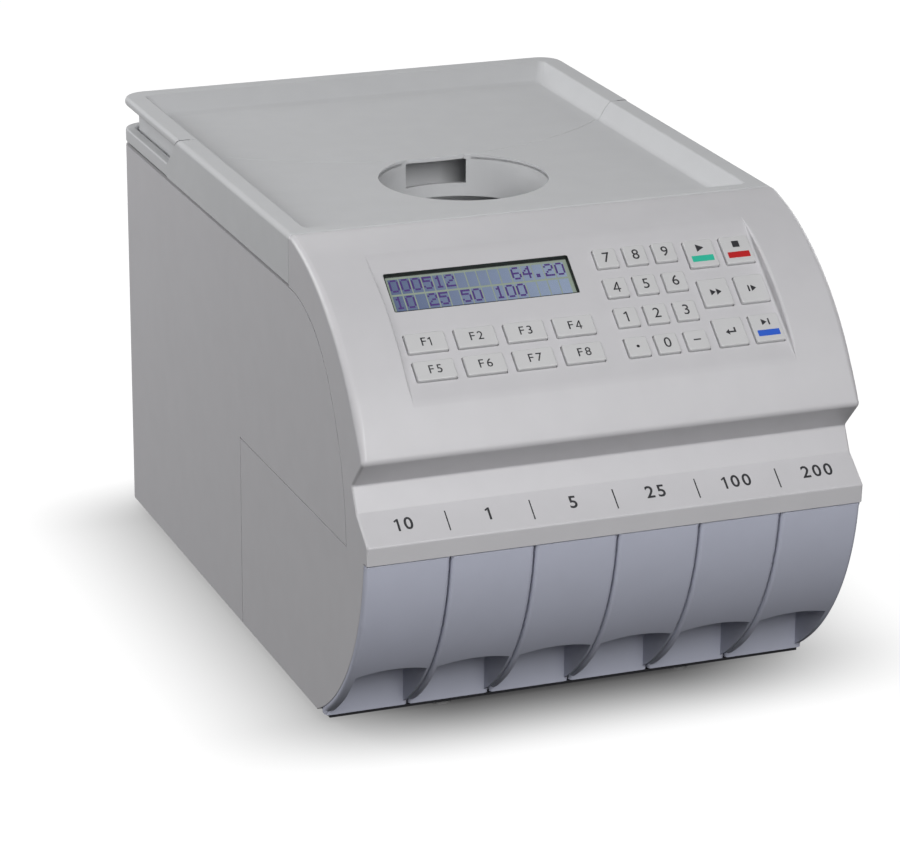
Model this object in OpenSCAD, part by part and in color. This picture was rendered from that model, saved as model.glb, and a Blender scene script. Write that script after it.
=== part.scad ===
// Countertop coin sorter: a curved console with a keypad and a display, six coin drawers,
// a coin tray whose rear half tips up to pour, and a spinning-disc sorter inside.
// Millimetres, +Z up, front towards -Y, origin on the floor under the middle of the casing.

/* [Casing] */
// Overall width
body_w = 280; // [274:1:300]
// Overall depth, label lip to rear wall
body_d = 442; // [430:1:450]
// Overall height, feet included
body_h = 258.5; // [256:0.5:266]
// Thickness of the moulded walls
skin = 2.5; // [2:0.1:3]
// Gap at the seams between mouldings
seam = 0.4; // [0.2:0.1:0.8]
// Radius of the upright rear corners
corner_r = 14; // [12:1:20]
// Height of the rubber feet
foot_h = 5; // [4:0.5:7]
// Radius of the rubber feet
foot_r = 6.5; // [5:0.5:9]
// Distance of the front feet from the middle
front_foot_x = 70; // [50:1:100]
// Distance of the rear feet from the middle
rear_foot_x = 112; // [80:1:120]
// Set-in of the feet from the base plate's edges
foot_in = 13.5; // [9:0.5:30]
// Thickness of the steel base plate
base_t = 1.5; // [1:0.5:4]

/* [Console] */
// Radius of the curved console face
console_r = 151; // [148:1:156]
// Slope of the face where it leaves the top, in degrees
console_lead = 10.5; // [9:0.5:12]
// Depth of the console, label lip to its top edge
console_d = 118.5; // [116:0.5:122]
// Width of the flat land behind the console's top edge
console_land = 4.5; // [3:0.5:6]
// Height of the console's bottom edge
console_edge_z = 169; // [167:0.5:172]
// Height of the notch under the console
notch_z = 152.2; // [150:0.2:155]
// Set-back of the notch from the lip
notch_d = 23.5; // [22:0.5:26]
// Height of the label facet's upper edge
facet_z = 139.5; // [137:0.5:142]
// Set-back of the label facet's upper edge
facet_d = 16.8; // [15:0.2:19]
// Height of the label lip
lip_z = 126.4; // [125:0.2:129]
// Height of the lip's front face
lip_h = 10.4; // [9:0.2:12]
// Set-back of the lip's lower edge
lip_in = 2.5; // [1.5:0.1:4]

/* [Side cover] */
// Depth of the tray frame, top to the cover's upper edge
frame_h = 29.3; // [27:0.1:32]
// Set-back of the cover's front edge from the lip
cover_d = 33; // [30:0.5:36]
// Radius of the seam's upper curve
seam_r = 74.5; // [68:0.5:82]
// Radius of the seam's lower curve
seam_low_r = 150; // [130:1:170]
// Angle where the two curves join, in degrees
seam_join_a = 55; // [48:1:62]
// Height of the seam over the drawers
low_seam_z = 116.5; // [115:0.5:120]
// Set-back of the upright seam behind the drawers
low_seam_d = 212.5; // [205:0.5:220]
// Width of the vent slots
vent_w = 46; // [30:1:60]
// Height of the vent slots
vent_h = 3.2; // [2:0.2:4]
// Spacing of the vent slots
vent_pitch = 8; // [6:0.5:10]

/* [Keypad] */
// Width of the console's shoulders beside the keypad flat
shoulder_w = 32.2; // [29:0.1:34]
// Angle on the console curve at the flat's upper edge
flat_top_a = 20.7; // [19:0.1:22]
// Angle on the console curve at the flat's lower edge
flat_low_a = 56.3; // [55:0.1:58]
// Thickness of the keypad panel
panel_t = 2.5; // [2:0.1:3]
// Height of the key tops above the flat
key_rise = 2; // [1.6:0.1:4]
// Travel of a key
key_travel = 1.5; // [1:0.1:2]
// Gap around each key
key_gap = 0.3; // [0.2:0.05:0.5]
// Margin between the last control key and the flat's side
side_margin = 2.3; // [2.2:0.1:4]
// Margin between the top number key and the flat's upper edge
top_margin = 11.3; // [10:0.1:13]
// Width of a function key
func_w = 22; // [20:0.2:23]
// Height of a function key
func_h = 11.8; // [10:0.2:13]
// Middle of the first function key
func_x = -90.9; // [-92:0.1:-89]
// Spacing of the function keys across
func_dx = 27.5; // [27:0.1:28]
// Middle of the lower function row, up the flat
func_v = 18.1; // [17:0.1:19]
// Spacing of the function rows
func_dv = 17.2; // [16:0.1:18]
// Width of a number key
digit_w = 12.4; // [11:0.2:13]
// Height of a number key
digit_h = 12; // [11:0.2:13]
// Middle of the first number column
digit_x = 22.1; // [21:0.1:23]
// Spacing of the number columns
digit_dx = 16.9; // [16.4:0.1:17.2]
// Middle of the lowest number row, up the flat
digit_v = 18; // [17:0.1:19]
// Spacing of the number rows
digit_dv = 19; // [18:0.1:19.4]
// Width of a control key
ctl_w = 16.6; // [15:0.2:17]
// Height of a control key
ctl_h = 17.2; // [16:0.2:18]
// Middle of the first control column
ctl_x = 76.1; // [75.6:0.1:77]
// Spacing of the control columns
ctl_dx = 21.1; // [20.6:0.1:21.4]
// Middle of the lowest control row, up the flat
ctl_v = 20.7; // [20:0.1:22]
// Spacing of the control rows
ctl_dv = 25.5; // [24:0.1:26]
// Width of the display opening
disp_w = 103.7; // [98:0.1:106]
// Height of the display opening
disp_h = 24.4; // [22:0.1:26]
// Middle of the display across
disp_x = -49.9; // [-51:0.1:-49]
// Middle of the display, up the flat
disp_v = 68.5; // [67:0.1:70]

/* [Keypad board] */
// Width of the lip that holds a key under the panel
flange_w = 1.2; // [0.8:0.1:1.4]
// Thickness of that lip
flange_t = 1.2; // [0.8:0.1:1.6]
// Slack between that lip and the panel
key_slack = 0.1; // [0.05:0.05:0.3]
// Thickness of the display window
window_t = 1.5; // [1:0.1:2]
// Overlap of the window behind the panel
window_lap = 2; // [1:0.1:2.4]
// Thickness of the rubber key mat
mat_t = 1.2; // [1:0.1:2]
// Margin of the mat around the keys
mat_margin = 2; // [1.4:0.1:2.2]
// Thickness of the circuit boards
board_t = 1.6; // [1:0.1:2]
// Radius of the board bosses
boss_r = 3; // [2.4:0.1:3.2]
// Set-in of the board bosses from the flat's ends
boss_in = 5; // [4.5:0.1:6]

/* [Drawers] */
// Radius of the curved drawer fronts
drawer_r = 139.4; // [137:0.2:144]
// Height of the middle of that curve
drawer_mid_z = 127; // [125:0.5:129]
// Gap between drawer fronts
drawer_gap = 0.8; // [0.6:0.1:1.2]
// Thickness of the curved fronts
front_t = 3; // [2:0.1:4]
// Width of the ribs beside the finger recess
rib_w = 2.5; // [2:0.1:3.5]
// Height of the finger recess in the middle
recess_z = 45.6; // [42:0.2:52]
// Radius of the recess's arched top
recess_arch_r = 68; // [60:1:120]
// Set-back of the recess's rear wall from the lip
recess_d = 67; // [62:0.5:68]
// Thickness of the drawer walls
drawer_wall = 1.8; // [1.4:0.1:2.4]
// Running gap under and beside the drawers
drawer_slack = 0.4; // [0.3:0.05:0.6]
// Depth of a drawer, lip to its rear wall
drawer_d = 187; // [175:1:192]
// Thickness of the plates between the drawers
part_t = 2; // [1.5:0.1:2.5]

/* [Coin tray] */
// Width of the tray's rim
rim_w = 12; // [11:0.2:14]
// Depth of the tray
tray_depth = 10.5; // [9:0.1:11]
// Run of the sloping walls
wall_run = 6.5; // [5:0.1:8]
// Run of the sloping rear wall
rear_run = 12; // [8:0.5:16]
// Width of the rim in front
front_rim_w = 9; // [8:0.5:12]
// Thickness of the tray's floor
floor_t = 2.5; // [2:0.1:3]
// Thickness of the rear tray's finger lip
lip_t = 5; // [4:0.1:6]
// Overhang of the finger lip
lip_over = 8; // [7.5:0.1:9]
// Height of the frame's low band round the rear tray
band_h = 9.9; // [9:0.1:11]
// Width of that band
band_w = 6; // [5:0.1:6.4]
// Drop of the ledge that carries the rear tray
ledge_drop = 3.5; // [3:0.1:4]
// Width of that ledge
ledge_w = 9; // [7:0.5:12]
// Set-back of the tray's rim seam from the lip
tray_seam_d = 324; // [318:1:328]
// Run of the slanted seam on the sides
slant_run = 21; // [18:1:26]
// Gap between the rear tray and the frame
tray_gap = 0.6; // [0.4:0.1:1]
// Radius of the spout's front edge
spout_r = 172; // [165:1:200]
// Set-back of the spout's tip from the lip
spout_d = 276.5; // [270:0.5:282]
// Radius of the mouth in the front pan
mouth_r = 48; // [44:0.5:50]
// Set-back of the middle of the mouth
mouth_d = 232; // [228:0.5:234]
// Depth of the collar under the mouth
collar_h = 22; // [16:0.5:23]
// Set-back of the tray's hinge from the lip
hinge_d = 309; // [307:0.5:310]
// Drop of the tray's hinge below the rim
hinge_drop = 6; // [5.8:0.1:6.4]
// Radius of the hinge pins
pin_r = 1.6; // [1.4:0.1:1.8]
// Radius of the arm ends that carry the tray
arm_r = 3.2; // [2.8:0.1:3.4]
// Drop angle of the arms, in degrees
arm_a = 42; // [41:0.5:46]
// Running gap of pins and shafts
run_gap = 0.05; // [0.02:0.01:0.1]

/* [Sorter] */
// Height of the deck plate
deck_z = 118; // [117.5:0.5:121]
// Thickness of the deck plate
deck_t = 3; // [2:0.5:4]
// Radius of the spinning disc
disc_r = 100; // [90:1:104]
// Thickness of the disc
disc_t = 8; // [6:0.5:10]
// Height of the disc above the deck
disc_lift = 29; // [26:0.5:32]
// Radius of the disc's shaft
shaft_r = 6; // [5:0.5:8]
// Length of the bearing below the deck
bearing_h = 33; // [20:1:60]
// Radius of the bearing housing
bearing_r = 16; // [12:0.5:20]
// Radius of the disc's pulley
pulley_r = 45; // [35:1:50]
// Radius of the motor's pulley
small_pulley_r = 15; // [10:1:18]
// Width of the drive belt
belt_w = 10; // [6:0.5:12]
// Thickness of the drive belt
belt_t = 1.5; // [1:0.1:2.5]
// Distance from the disc's shaft to the motor
motor_dy = 110; // [100:1:120]
// Radius of the motor
motor_r = 30; // [24:1:34]
// Height of the motor
motor_h = 72; // [50:1:90]
// Thickness of the sorting head
head_t = 10; // [8:0.5:14]
// Radius of the opening in the sorting head
head_bore = 40; // [30:1:44]
// Gap between the disc and the sorting head
head_gap = 2; // [1.5:0.1:4]
// Radius of the hopper's rim
hopper_r = 75; // [68:1:80]
// Height of the hopper's rim below the tray's floor
hopper_drop = 26; // [25:0.5:36]
// Width of a coin passage
chute_w = 34; // [30:0.5:36]
// Depth of a coin passage
chute_d = 14; // [12:0.5:18]
// Height of the block of coin passages
chute_h = 44; // [30:1:50]

/* [Electrics] */
// Width of the power inlet
inlet_w = 52; // [48:1:54]
// Height of the power inlet
inlet_h = 32; // [30:1:40]
// Depth of the power inlet
inlet_d = 26; // [24:1:34]
// Gap between the deck's leg and the power inlet
inlet_gap = 2; // [1:0.5:20]
// Middle of the power inlet's height
inlet_z = 38; // [34:1:60]
// Width of the rocker switch
rocker_w = 13; // [10:0.5:15]
// Height of the rocker switch
rocker_h = 20; // [16:0.5:22]
// Swing of the rocker, in degrees
rocker_swing = 14; // [10:1:16]
// Width of the power supply
supply_w = 82; // [60:1:84]
// Depth of the power supply
supply_d = 120; // [80:1:140]
// Height of the power supply
supply_h = 52; // [40:1:70]
// Width of the control board
logic_w = 84; // [60:1:86]
// Depth of the control board
logic_d = 160; // [120:1:170]
// Height of the control board above the base plate
logic_lift = 6; // [4:0.5:10]
// Radius of the screw heads
head_r = 3; // [2.5:0.1:3.5]
// Radius of the screw shanks
shank_r = 1.5; // [1.2:0.1:1.8]

/* [Hidden] */
$fn = 96;
drawer_count = 6;
func_names = [for (i = [1:8]) str("function_key_", i)];
digit_marks = ["point", "0", "minus", "1", "2", "3", "4", "5", "6", "7", "8", "9"];
digit_names = [for (n = digit_marks) str("number_key_", n)];
ctl_names = [for (i = [1:6]) str("control_key_", i)];
drawer_names = [for (i = [1:drawer_count]) str("coin_drawer_", i)];

// Colours
shell_grey = [0.76, 0.76, 0.77];
tray_grey = [0.73, 0.74, 0.75];
drawer_grey = [0.62, 0.64, 0.69];
key_grey = [0.80, 0.80, 0.80];
dark_grey = [0.16, 0.16, 0.17];
steel = [0.66, 0.67, 0.69];
board_green = [0.10, 0.32, 0.20];
window_tint = [0.55, 0.60, 0.75, 0.5];
display_blue = [0.25, 0.28, 0.45];
switch_black = [0.08, 0.08, 0.08];

// Casing
eps = 0.5;
far = 2 * body_d;
front_y = -body_d / 2;
rear_y = body_d / 2;
half_w = body_w / 2;
inner_w = half_w - skin;
inner_y = rear_y - skin;
base_top = foot_h + base_t;
fit_gap = 0.3;
leg_w = 16;
leg_x = half_w - corner_r - leg_w / 4;
vent_count = 8;
vent_in = 20;
vent_rise = 30;
cover_screw_in = 12;
base_screw_in = 40;
head_h = 1.6;

// Console, as points in side view: [y, z]
console_top_y = front_y + console_d;
console_back_y = console_top_y + console_land;
console_c = [console_top_y + console_r * sin(console_lead), body_h - console_r * cos(console_lead)];
function console_at(a) = console_c + console_r * [-sin(a), cos(a)];
function console_y(z) = console_c.x - sqrt(console_r ^ 2 - (z - console_c.y) ^ 2);
edge_p = [console_y(console_edge_z), console_edge_z];
notch_p = [front_y + notch_d, notch_z];
facet_p = [front_y + facet_d, facet_z];
lip_p = [front_y, lip_z];
lip_low_p = [front_y + lip_in, lip_z - lip_h];
strip_line = [edge_p, notch_p, facet_p, lip_p, lip_low_p];

// Keypad flat: a chord of the console curve
flat_w = body_w - 2 * shoulder_w;
flat_low = console_at(flat_low_a);
flat_len = norm(console_at(flat_top_a) - flat_low);
flat_slope = (flat_top_a + flat_low_a) / 2;
flat_rise = console_r * (1 - cos((flat_low_a - flat_top_a) / 2));
flange_n = panel_t + key_slack;
mat_n = flange_n + flange_t + key_travel + fit_gap;
board_n = mat_n + mat_t;
plunger_h = mat_t;
plunger_w = 4;
key_u = flat_w / 2 / (ctl_x + ctl_dx + ctl_w / 2 + side_margin);
key_v = flat_len / (digit_v + 3 * digit_dv + digit_h / 2 + top_margin);
function placed(name, x, v, w, h) = [name, x * key_u, v * key_v, w * key_u, h * key_v];
func_keys = [for (i = [0:7])
  placed(func_names[i], func_x + (i % 4) * func_dx, func_v + (i < 4 ? func_dv : 0), func_w, func_h)];
digit_keys = [for (i = [0:11])
  placed(digit_names[i], digit_x + (i % 3) * digit_dx, digit_v + floor(i / 3) * digit_dv, digit_w, digit_h)];
ctl_keys = [for (i = [0:5])
  placed(ctl_names[i], ctl_x + (i % 2) * ctl_dx, ctl_v + (2 - floor(i / 2)) * ctl_dv, ctl_w, ctl_h)];
display = placed("display", disp_x, disp_v, disp_w, disp_h);
function low_x(set) = min([for (k = set) k[1] - k[3] / 2]) - mat_margin;
function high_x(set) = max([for (k = set) k[1] + k[3] / 2]) + mat_margin;
function low_v(set) = min([for (k = set) k[2] - k[4] / 2]) - mat_margin;
function high_v(set) = max([for (k = set) k[2] + k[4] / 2]) + mat_margin;
keys = concat(func_keys, digit_keys, ctl_keys);

// Side cover
cover_top_z = body_h - frame_h;
cover_front_y = front_y + cover_d;
low_seam_y = front_y + low_seam_d;
join_dir = [-sin(seam_join_a), cos(seam_join_a)];
seam_low_c = [cover_front_y + seam_low_r, cover_top_z - seam_r - (seam_low_r - seam_r) * join_dir.y];
seam_c = seam_low_c + (seam_low_r - seam_r) * join_dir;

// Drawers
drawer_c = [lip_low_p.x + sqrt(drawer_r ^ 2 - (drawer_mid_z - lip_low_p.y) ^ 2), drawer_mid_z];
pitch = body_w / drawer_count;
drawer_z0 = base_top + drawer_slack;
drawer_z1 = lip_low_p.y - drawer_gap;
recess_y = front_y + recess_d;
drawer_back_y = front_y + drawer_d;
front_back_y = recess_y + 3 * drawer_wall;
base_front_y = recess_y + 2 * drawer_slack;
box_w = pitch - skin - part_t / 2 - 2 * drawer_slack;
function first(i) = i == 0;
function last(i) = i == drawer_count - 1;
function slot_x0(i) = first(i) ? -inner_w : -half_w + i * pitch;
function slot_x1(i) = last(i) ? inner_w : -half_w + (i + 1) * pitch;
function face_x0(i) = -half_w + i * pitch + (first(i) ? 0 : drawer_gap / 2);
function face_x1(i) = -half_w + (i + 1) * pitch - (last(i) ? 0 : drawer_gap / 2);
function box_x(i) = (slot_x0(i) + slot_x1(i) + (first(i) ? 0 : part_t / 2) - (last(i) ? 0 : part_t / 2)) / 2;

// Coin tray
frame_y0 = console_back_y + seam;
frame_z0 = cover_top_z + seam;
band_z = frame_z0 + band_h;
rest_z = band_z - ledge_drop;
floor_z = body_h - tray_depth;
under_z = floor_z - floor_t;
rim_x = half_w - rim_w;
floor_x = rim_x - wall_run;
body_x = half_w - lip_over;
body_y = rear_y - lip_over;
arm_x = body_x + fit_gap;
rim_rear_y = rear_y - rim_w;
rim_front_y = frame_y0 + front_rim_w;
tray_seam_y = front_y + tray_seam_d;
hinge_p = [front_y + hinge_d, body_h - hinge_drop];
swing_r = norm([tray_seam_y, body_h] - hinge_p);
tray_front_y = hinge_p.x + swing_r / 2;
spout_y = front_y + spout_d;
mouth_y = front_y + mouth_d;
mouth_rear_y = mouth_y + mouth_r + skin;
tip_r = norm([spout_y, under_z] - hinge_p);
tip_low_z = hinge_p.y - sqrt(tip_r ^ 2 - (hinge_p.x - mouth_rear_y) ^ 2) - skin / 2;
arm_len = norm([tray_seam_y - hinge_p.x, rest_z - hinge_p.y]);
hinge_wall = 2.4;
hinge_boss_r = pin_r + hinge_wall;

// Sorter
deck_top = deck_z + deck_t;
deck_front_y = cover_front_y + skin;
deck_gap = 6;
deck_rear_y = inner_y - deck_gap;
deck_w = inner_w - 2 * fit_gap;
disc_z = deck_top + disc_lift;
head_z = disc_z + disc_t + head_gap;
head_top = head_z + head_t;
head_over = 12;
sorter_r = disc_r + head_over;
post_r = 4;
post_gap = 3;
post_pcd_r = disc_r + post_r + post_gap;
belt_z = (deck_top + disc_z) / 2 - belt_w / 2 + 2;
pulley_flange = 3;
motor_y = mouth_y + motor_dy;
hopper_top = under_z - hopper_drop + floor_t;
chute_gap = 5;
chute_y = mouth_y - sorter_r - chute_d / 2 - chute_gap;

// Electrics
inlet_x = leg_w / 2 + inlet_gap + inlet_w / 2 - leg_x;
inlet_face_y = rear_y - fit_gap;
rocker_in = 5;
rocker_sink = 4.6;
socket_in = 4;
rocker_x = inlet_x + inlet_w / 2 - rocker_w / 2 - rocker_in;
rocker_y = inlet_face_y - rocker_sink;
socket_w = 24;
socket_h = 16;
socket_x = inlet_x - inlet_w / 2 + socket_w / 2 + socket_in;
socket_floor = 8;
prong_pitch = 7;
prong_w = 2;
prong_h = 5;
rocker_deep = 3;
rocker_bulge = 2.6;
rocker_dip = 1.6;
electrics_in = 6;
supply_gap = 14;
logic_gap = 20;
logic_in = 8;
chip_h = 3;
plug_h = 12;
rail_h = 9;

// Extrude a side view (y, z) across the width, or a front view (x, z) along the depth
module along_x(x0, x1) translate([x0, 0, 0]) rotate([90, 0, 90]) linear_extrude(x1 - x0) children();
module along_y(y0, y1) translate([0, y1, 0]) rotate([90, 0, 0]) linear_extrude(y1 - y0) children();
module both_sides() for (s = [0, 1]) mirror([s, 0, 0]) children();
module rect(y0, z0, y1, z1) translate([y0, z0]) square([y1 - y0, z1 - z0]);
module block(w, h, n0, n1) translate([-w / 2, -h / 2, n0]) cube([w, h, n1 - n0]);
module on_flat() translate([0, flat_low.x, flat_low.y]) rotate([flat_slope, 0, 0]) children();

// Plan outline with a straight front and round rear corners
module rounded_back(w, y0, y1, r) {
  rr = max(r, eps);
  translate([-w, y0]) square([2 * w, y1 - rr - y0]);
  translate([rr - w, y0]) square([2 * (w - rr), y1 - y0]);
  for (s = [-1, 1]) translate([s * (w - rr), y1 - rr]) circle(rr);
}
module wrap(w0, w1, y0) difference() {
  rounded_back(w1, y0, rear_y - half_w + w1, corner_r - half_w + w1);
  rounded_back(w0, y0 - eps, rear_y - half_w + w0, corner_r - half_w + w0);
}

// Line of constant thickness to the left of a run of points
function unit(v) = v / norm(v);
function left_of(a, b) = unit([a.y - b.y, b.x - a.x]);
function mitre(m, n) = (m + n) / (1 + m * n);
function inset(p, d) = [for (i = [0:len(p) - 1])
  let (before = left_of(p[max(i - 1, 0)], p[max(i, 1)]))
  let (after = left_of(p[min(i, len(p) - 2)], p[min(i + 1, len(p) - 1)]))
  p[i] + d * mitre(before, after)];
function band(p, d) = let (q = inset(p, d)) concat(p, [for (i = [len(p) - 1:-1:0]) q[i]]);

// Side views of the casing
module console_disc(r) translate(console_c) circle(r);
module drawer_disc(r) translate(drawer_c) circle(r);
module console_bounds() polygon([
  [console_back_y, body_h], [front_y, body_h], [front_y, console_edge_z], edge_p,
  notch_p, [console_back_y, notch_p.y]
]);
module console_outline() {
  intersection() {
    console_disc(console_r);
    console_bounds();
  }
  polygon([notch_p, facet_p, lip_p, lip_low_p, [console_back_y, lip_low_p.y], [console_back_y, notch_p.y]]);
}
module console_skin() {
  intersection() {
    difference() {
      console_disc(console_r);
      console_disc(console_r - skin);
    }
    console_bounds();
  }
  rect(console_top_y - skin, body_h - skin, console_back_y, body_h);
}
module cover_corner(g) {
  translate(seam_c) circle(seam_r + g);
  intersection() {
    translate(seam_low_c) circle(seam_low_r + g);
    polygon([seam_low_c, seam_low_c + far * join_dir, seam_low_c + [-far, -far]]);
  }
  rect(seam_c.x, base_top, rear_y + eps, cover_top_z + g);
}
module cover_side(g) {
  intersection() {
    rect(front_y, low_seam_z - g, rear_y + eps, cover_top_z + g);
    cover_corner(g);
  }
  rect(low_seam_y - g, foot_h - eps, rear_y + eps, low_seam_z);
}
module cheek_outline() difference() {
  union() {
    console_outline();
    intersection() {
      drawer_disc(drawer_r - front_t - drawer_slack);
      rect(front_y, foot_h, low_seam_y, low_seam_z);
    }
  }
  cover_side(seam);
}

// Casing
module keypad_panel() intersection() {
  on_flat()
    translate([-flat_w / 2 - skin, -2 * skin, -panel_t])
      cube([flat_w + 2 * skin, flat_len + 4 * skin, panel_t + flat_rise + eps]);
  along_x(-half_w, half_w) console_disc(console_r);
}
module keypad_holes() on_flat() {
  translate([-flat_w / 2, -eps, 0]) cube([flat_w, flat_len + 2 * eps, flat_rise + eps]);
  for (k = keys)
    translate([k[1], k[2], 0]) block(k[3] + 2 * key_gap, k[4] + 2 * key_gap, -panel_t - eps, eps);
  at_display() block(display[3], display[4], -panel_t - eps, eps);
}
module board_places() on_flat()
  for (x = [-1, 1], v = [boss_in, flat_len - boss_in])
    translate([x * (flat_w / 2 - boss_in - boss_r / 2), v, 0]) children();
module front_housing() color(shell_grey) difference() {
  union() {
    along_x(-half_w, half_w) console_skin();
    along_x(-half_w, half_w) polygon(band(strip_line, skin));
    both_sides() along_x(inner_w, half_w) cheek_outline();
    keypad_panel();
    board_places() translate([0, 0, -board_n]) cylinder(r = boss_r, h = board_n - panel_t / 2);
  }
  keypad_holes();
  board_places() translate([0, 0, -board_n - eps]) cylinder(r = shank_r, h = board_n - panel_t);
}
module inlet_hole(g) translate([inlet_x, 0, inlet_z])
  along_y(inner_y - eps, rear_y + eps)
    square([inlet_w + 2 * g, inlet_h + 2 * g], center = true);
module cover_screws() for (x = [-1, 1], z = [base_top + cover_screw_in, cover_top_z - head_r - 2 * seam])
  translate([x * leg_x, rear_y, z]) rotate([90, 0, 0]) children();
module rear_cover() color(shell_grey) difference() {
  intersection() {
    translate([0, 0, foot_h]) linear_extrude(cover_top_z - foot_h) wrap(inner_w, half_w, front_y);
    along_x(-half_w - eps, half_w + eps) cover_side(0);
  }
  inlet_hole(fit_gap);
  for (i = [0:vent_count - 1])
    translate([half_w - corner_r - vent_w - vent_in, inner_y - eps, base_top + vent_rise + i * vent_pitch])
      cube([vent_w, skin + 2 * eps, vent_h]);
  cover_screws() {
    translate([0, 0, -eps]) cylinder(r = head_r + fit_gap, h = head_h + eps);
    cylinder(r = shank_r + fit_gap / 2, h = skin + eps);
  }
}
module base_screws() for (x = [-1, 1], y = [base_front_y + base_screw_in, 0, inner_y - base_screw_in])
  translate([x * (half_w - pitch / 2), y, foot_h]) children();
module base_plate() color(dark_grey) difference() {
  translate([0, 0, foot_h]) linear_extrude(base_t)
    rounded_back(inner_w, base_front_y, inner_y, corner_r);
  base_screws() translate([0, 0, -eps]) cylinder(r = shank_r + fit_gap / 2, h = base_t + 2 * eps);
}
module rubber_feet() color(dark_grey) {
  for (s = [-1, 1]) {
    translate([s * front_foot_x, base_front_y + foot_in, 0]) cylinder(r = foot_r, h = foot_h);
    translate([s * rear_foot_x, inner_y - foot_in, 0]) cylinder(r = foot_r, h = foot_h);
  }
}

// Keypad
module key(k) color(key_grey) on_flat() translate([k[1], k[2], 0]) {
  block(k[3], k[4], -flange_n - flange_t / 2, key_rise);
  block(k[3] + 2 * flange_w, k[4] + 2 * flange_w, -flange_n - flange_t, -flange_n);
  block(plunger_w, plunger_w, -flange_n - flange_t - plunger_h, -flange_n - flange_t / 2);
}
module at_display() translate([display[1], display[2], 0]) children();
module display_plate(n0, n1) on_flat() at_display()
  block(display[3] + 2 * window_lap, display[4] + 2 * window_lap, n0, n1);
module display_window() color(window_tint) display_plate(-panel_t - window_t, -panel_t);
module display_module() color(display_blue) display_plate(-board_n, -panel_t - window_t);
module mat_area(x0, x1, set) translate([x0, low_v(set), -board_n])
  cube([x1 - x0, high_v(set) - low_v(set), mat_t]);
module key_mat() color(dark_grey) on_flat() difference() {
  union() {
    mat_area(low_x(func_keys), low_x(digit_keys) + mat_margin, func_keys);
    mat_area(low_x(digit_keys), high_x(ctl_keys), digit_keys);
  }
  for (k = keys)
    translate([k[1], k[2], 0])
      block(plunger_w + 2 * key_gap, plunger_w + 2 * key_gap, -board_n - eps, -mat_n + eps);
}
module keypad_board() color(board_green) difference() {
  on_flat() translate([0, flat_len / 2, 0])
    block(flat_w - 2 * skin, flat_len - skin, -board_n - board_t, -board_n);
  board_places() translate([0, 0, -board_n - board_t - eps])
    cylinder(r = shank_r + fit_gap / 2, h = board_t + 2 * eps);
}

// Drawers
module coin_drawer(i) {
  x0 = slot_x0(i) + drawer_gap / 2;
  x1 = slot_x1(i) - drawer_gap / 2;
  recess_x0 = first(i) ? x0 + rib_w / 2 : face_x0(i) + rib_w;
  recess_x1 = last(i) ? x1 - rib_w / 2 : face_x1(i) - rib_w;
  inside_w = box_w - 2 * drawer_wall;
  ceiling_z = recess_z + front_t;
  color(drawer_grey) difference() {
    union() {
      along_x(face_x0(i), face_x1(i)) intersection() {
        difference() {
          drawer_disc(drawer_r);
          drawer_disc(drawer_r - front_t);
        }
        rect(front_y, drawer_z0, front_back_y, drawer_z1);
      }
      along_x(x0, x1) intersection() {
        drawer_disc(drawer_r);
        rect(front_y, drawer_z0, front_back_y, drawer_z1);
      }
      translate([box_x(i) - box_w / 2, recess_y, drawer_z0])
        cube([box_w, drawer_back_y - recess_y, drawer_z1 - drawer_z0]);
    }
    along_x(x0 + rib_w, x1 - rib_w) intersection() {
      drawer_disc(drawer_r - front_t);
      rect(front_y, ceiling_z, recess_y, drawer_z1 + eps);
    }
    translate([box_x(i) - inside_w / 2, recess_y - eps, ceiling_z])
      cube([inside_w, drawer_back_y - recess_y + eps - drawer_wall, drawer_z1]);
    translate([box_x(i) - inside_w / 2, recess_y + drawer_wall, drawer_z0 + drawer_wall])
      cube([inside_w, drawer_back_y - recess_y - 2 * drawer_wall, drawer_z1]);
    along_y(front_y - eps, recess_y) intersection() {
      rect(recess_x0, 0, recess_x1, recess_z);
      translate([(recess_x0 + recess_x1) / 2, recess_z - recess_arch_r]) circle(recess_arch_r);
    }
  }
}
module drawer_partitions() color(steel) for (i = [1:drawer_count - 1])
  translate([-half_w + i * pitch - part_t / 2, front_back_y + drawer_wall, base_top])
    cube([part_t, drawer_back_y - front_back_y, deck_z - base_top]);

// Coin tray and its frame
module pan_space() intersection() {
  slope_x = wall_run / tray_depth;
  slope_y = rear_run / tray_depth;
  along_y(frame_y0, rear_y) polygon([
    [-floor_x, floor_z], [floor_x, floor_z], [rim_x + slope_x, body_h + 1], [-rim_x - slope_x, body_h + 1]
  ]);
  along_x(-half_w, half_w) polygon([
    [rim_front_y + 2, floor_z], [rim_rear_y - rear_run, floor_z],
    [rim_rear_y + slope_y, body_h + 1], [rim_front_y, body_h + 1]
  ]);
}
module slant_zone(g) polygon([
  [tray_seam_y + g, body_h + 1], [tray_seam_y + g, body_h], [tray_seam_y + slant_run + g, band_z],
  [rear_y + 1, band_z], [rear_y + 1, body_h + 1]
]);
module swing_zone(g) difference() {
  rect(hinge_p.x, foot_h, rear_y + 1, body_h + 1);
  translate(hinge_p) circle(swing_r + g);
}
module spout_disc(g) translate([0, spout_y + spout_r, 0]) circle(spout_r + g);
module frame_side() difference() {
  rect(frame_y0, frame_z0, rear_y - corner_r, body_h);
  slant_zone(0);
}
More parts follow.
